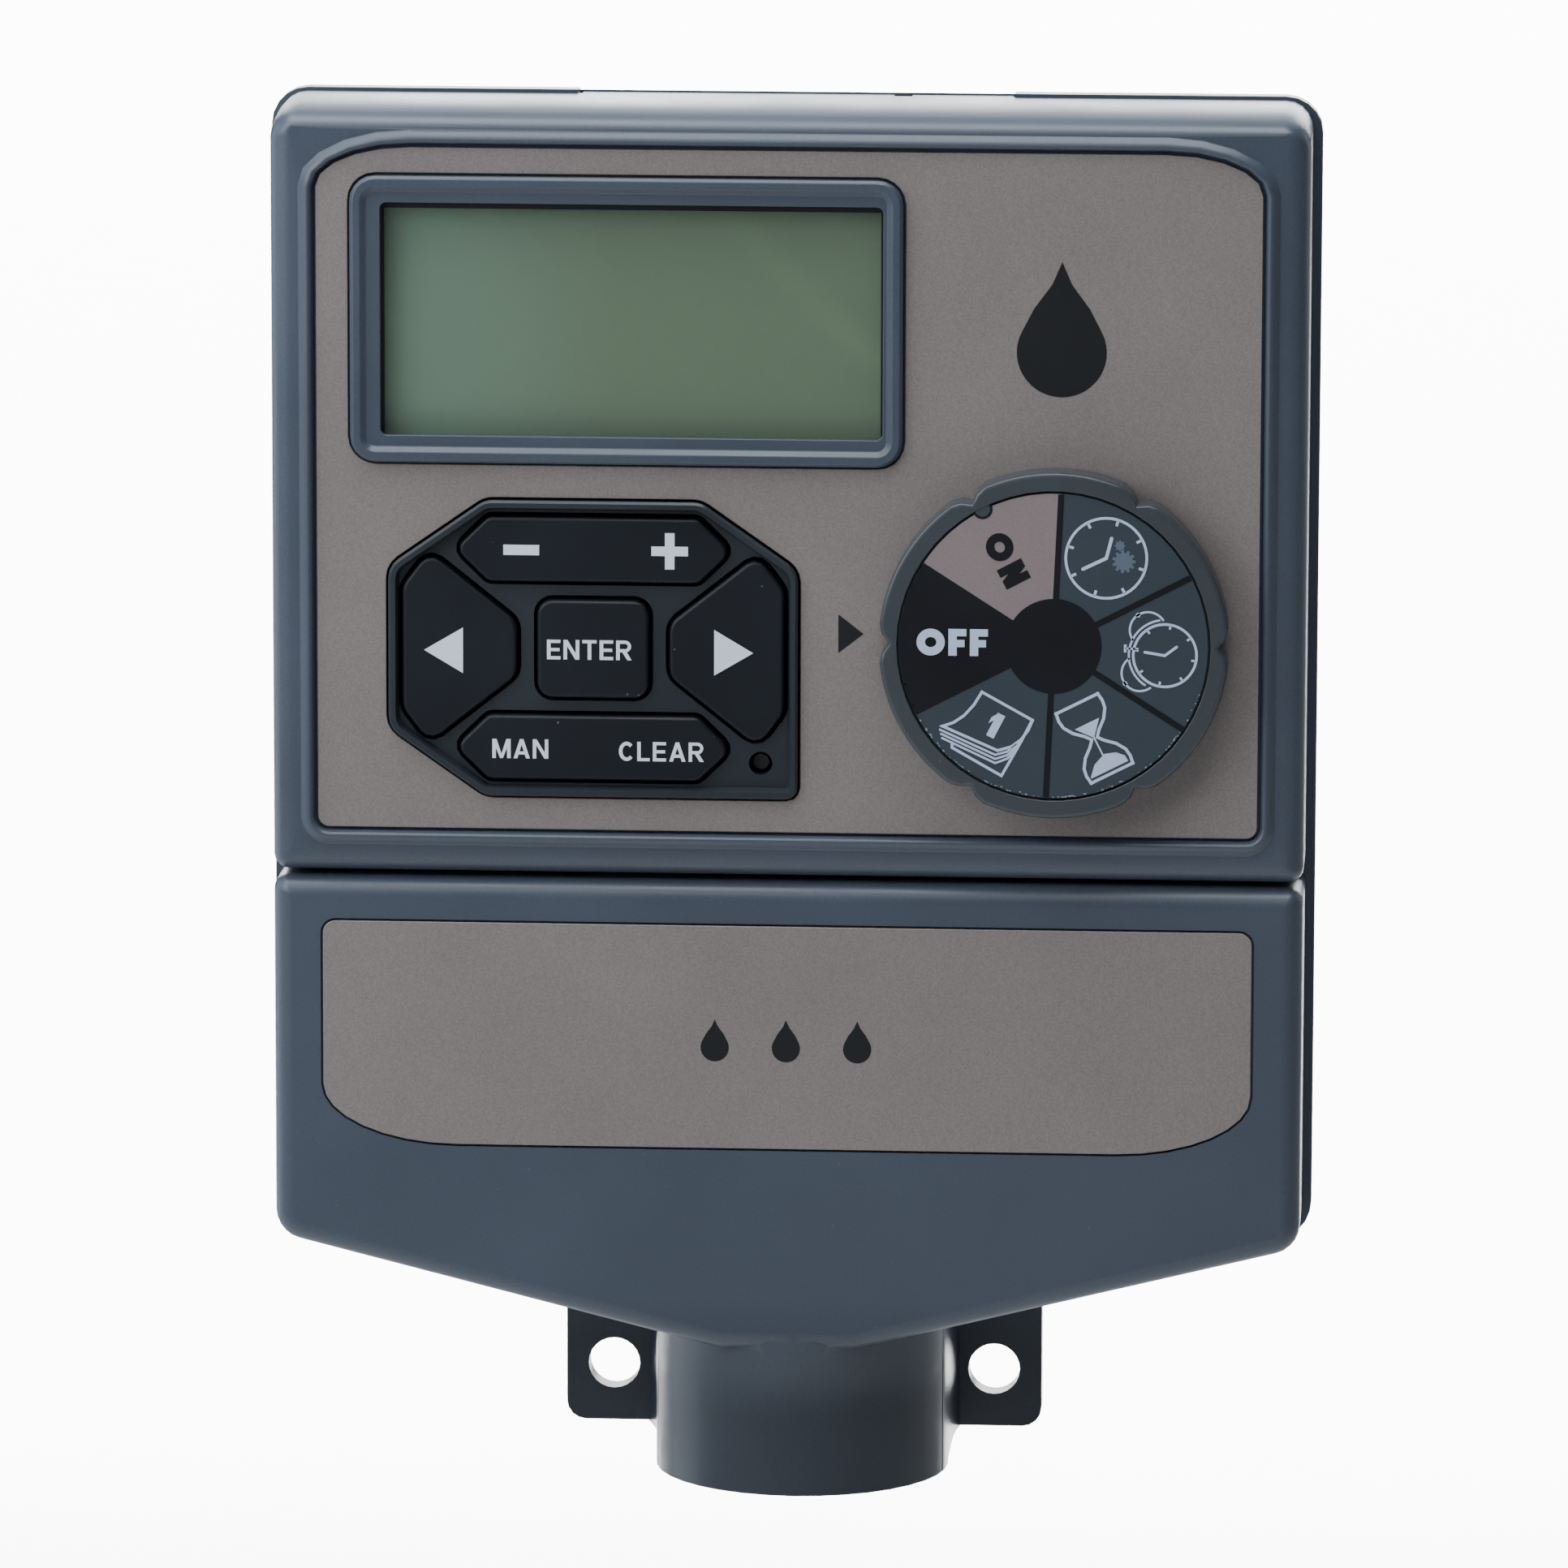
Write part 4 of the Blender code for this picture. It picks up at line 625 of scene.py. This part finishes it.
def worn_rim():
    """Light flecks where the printed disc's edge has rubbed."""
    chance = random.Random(7)
    flecks = Print(DISC_FRONT_Y)
    for _ in range(FLECKS):
        angle = chance.uniform(*WORN_ARC)
        reach = DISC_R - 0.12 - abs(chance.gauss(0.0, 0.08))
        size = chance.uniform(*FLECK_SIZE)
        centre = turned([(reach, 0.0)], DIAL, angle)[0]
        fleck = [(-size, 0.0), (0.0, -size * 2.2), (size, 0.0), (0.0, size * 1.6)]
        flecks.prism(turned(fleck, centre, angle))
    flecks.finish("dial_worn_flecks", "dial_disc", MATERIALS["worn_edge"])


def make_dial_tab():
    """The little key of the knob that stops the printed disc from turning in it."""
    centre = turned([(DISC_R + 0.1, 0.0)], DIAL, TAB_ANGLE)[0]
    gap = Print(DISC_FRONT_Y - 0.04)
    gap.dot(*centre, 1.25, 24)
    gap.finish("dial_tab_gap", "dial_disc", MATERIALS["dial_black"])
    tab = Print(DISC_FRONT_Y - 0.08)
    tab.dot(*centre, 0.95, 24)
    tab.finish("dial_tab", "dial_knob", MATERIALS["knob_plastic"])


# ---- prints on the labels, and a painted shadow in the window ------------------------------------------
def drop_outline(centre, height):
    """A plain water drop: a point above a round belly."""
    radius = height * 0.33
    belly = arc(0, 0, radius, 152, 388, 28)
    right = [(radius * 0.62, radius * 0.98), (radius * 0.22, radius * 1.52)]
    left = [(-x, z) for x, z in right[::-1]]
    return turned(belly + right + [(0.0, height - radius)] + left, centre, 0)


def make_label_prints():
    """The pointer beside the dial, the plain drop above it and the row of drops on the cover."""
    ink = Print(LABEL_FRONT_Y)
    ink.prism([(6.45, 34.1), (6.45, 29.2), (9.6, 31.65)])
    ink.prism(drop_outline((34.2, 67.5), 17.0))
    ink.finish("panel_label_ink", "fascia_label", MATERIALS["black_ink"])
    row = Print(LABEL_FRONT_Y)
    for x in (-9.0, 0.0, 9.0):
        row.prism(drop_outline((x, -21.5), 5.4))
    row.finish("cover_label_ink", "lower_label", MATERIALS["black_ink"])


def make_window_shadow():
    """Painted shadow: the dark edge behind the window's top, left and right sides, drawn as black bands.
    """
    x_low, x_high, z_low, z_high = WINDOW
    painted_shadow = Print(LENS_FRONT_Y)
    painted_shadow.prism(bar(x_low, z_high - 0.8, x_high, z_high))
    painted_shadow.prism(bar(x_low, z_low, x_low + 0.45, z_high - 0.8))
    painted_shadow.prism(bar(x_high - 0.3, z_low, x_high, z_high - 0.8))
    painted_shadow.finish("display_painted_shadow", "lcd_window", MATERIALS["black_ink"])


# ---- camera, light and floor ------------------------------------------------------------------------
CAMERA_PLACE = (0.08668, -1.45007, 0.27078)
CAMERA_LENS = 261.8                      # mm, on a sensor 36 mm wide
CAMERA_YAW, CAMERA_DIP, CAMERA_ROLL = 0.0618, 0.1814, 0.0026     # radians
FLOOR_Z = -0.5
FLOOR_COLOUR = (0.9, 0.9, 0.9)
WORLD_COLOUR = (0.92, 0.95, 1.0, 1.0)
WORLD_STRENGTH = 0.10

# name, place, target, size in metres, watts, colour, spread in degrees
LIGHTS = (
    ("key_box", (-0.38, -0.30, 0.31), (0, 0, 0.03), (0.40, 0.60), 3.3, (0.92, 0.96, 1.0), 180.0),
    ("left_strip", (-1.1, 0.25, 0.1), (0, 0, 0.02), (0.8, 1.2), 5.0, (0.78, 0.88, 1.0), 180.0),
    ("right_strip", (0.8, 0.5, 0.25), (0, 0, 0.05), (0.3, 0.6), 0.9, (0.9, 0.95, 1.0), 180.0),
    ("front_fill", (-0.5, -1.7, 1.5), (0, 0, 0.02), (1.0, 0.6), 6.0, (1.0, 0.98, 0.97), 180.0),
    ("overhead", (-0.1, -0.1, 1.0), (0, 0.0, 0.05), (1.2, 0.6), 16.0, (0.92, 0.96, 1.0), 180.0),
    ("rear_top", (0, 1.8, 1.5), (0, 0, 0.08), (2.4, 1.6), 14.0, (0.80, 0.90, 1.0), 180.0),
    ("backdrop", (0, 6.0, 1.3), (0, 0, 0.3), (4.5, 2.4), 300.0, (0.97, 0.98, 1.0), 180.0),
    ("floor_light", (-0.3, 4.1, 0.02), (-0.3, 4.1, -0.5), (2.0, 5.4), 434.0, (1.0, 1.0, 1.0), 100.0),
)


def make_camera():
    data = bpy.data.cameras.new("camera")
    data.lens = CAMERA_LENS
    data.sensor_width = 36.0
    data.clip_start = 0.05
    data.clip_end = 60.0
    camera = bpy.data.objects.new("camera", data)
    camera.location = CAMERA_PLACE
    turn = Matrix.Rotation(CAMERA_YAW, 4, "Z") @ Matrix.Rotation(math.pi / 2 - CAMERA_DIP, 4, "X")
    camera.rotation_euler = (turn @ Matrix.Rotation(CAMERA_ROLL, 4, "Z")).to_euler()
    bpy.context.scene.collection.objects.link(camera)
    bpy.context.scene.camera = camera


def area_light(name, location, target, size, power, colour, spread):
    data = bpy.data.lights.new(name, "AREA")
    data.shape = "RECTANGLE"
    data.size, data.size_y = size
    data.energy = power
    data.color = colour
    data.spread = math.radians(spread)
    light = bpy.data.objects.new(name, data)
    light.location = location
    aim = Vector(target) - Vector(location)
    light.rotation_euler = aim.to_track_quat("-Z", "Y").to_euler()
    bpy.context.scene.collection.objects.link(light)


def make_studio():
    """A pale floor well below the object, a dim even world and soft area lights."""
    floor_mesh = bpy.data.meshes.new("floor")
    build = bmesh.new()
    bmesh.ops.create_grid(build, x_segments=1, y_segments=1, size=12.0)
    build.to_mesh(floor_mesh)
    build.free()
    floor = bpy.data.objects.new("floor", floor_mesh)
    floor.location = (0, 4.0, FLOOR_Z)
    mat, tree, shader = new_material("floor_paint")
    grain = noise_node(tree, 30.0)
    factor = map_range(tree, grain.outputs["Fac"], *NOISE_SPAN, 0.99, 1.01)
    shade = scaled_colour(tree, FLOOR_COLOUR, factor)
    tree.links.new(shade, shader.inputs["Base Color"])
    shader.inputs["Roughness"].default_value = 0.9
    floor_mesh.materials.append(mat)
    bpy.context.scene.collection.objects.link(floor)

    world = bpy.data.worlds.new("studio")
    bpy.context.scene.world = world
    world.use_nodes = True
    background = world.node_tree.nodes["Background"]
    background.inputs["Color"].default_value = WORLD_COLOUR
    background.inputs["Strength"].default_value = WORLD_STRENGTH
    for light in LIGHTS:
        area_light(*light)


def main():
    """Dress the CAD nodes, add the refined copies, the prints and the painted window shadow, and set up
    the studio.
    """
    make_camera()
    for node in sorted(NODES):
        NODES[node].data.materials.clear()
        NODES[node].data.materials.append(MATERIALS[SLOT_OF[node]])
    refine("front_case", "panel_shell")
    refine("lower_cover", "cover_shell")
    refine("rear_case", "back_shell", bevel=0.15)
    refine("fascia_label", "panel_label", bevel=0.08)
    refine("lower_label", "cover_label", bevel=0.08)
    refine("keypad_bezel", "keypad_frame")
    refine("dial_knob", "dial_ring", bevel=0.3, segments=4)
    refine("dial_disc", "dial_plate", bevel=0.05)
    for key in ("enter", "left", "right", "minus_plus", "man_clear"):
        refine(f"key_{key}", f"key_cap_{key}", bevel=0.15)
    refine("lcd_window", "display_lens", bevel=0.1)
    make_legends()
    make_dial_face()
    make_dial_tab()
    make_label_prints()
    make_window_shadow()
    make_studio()


main()
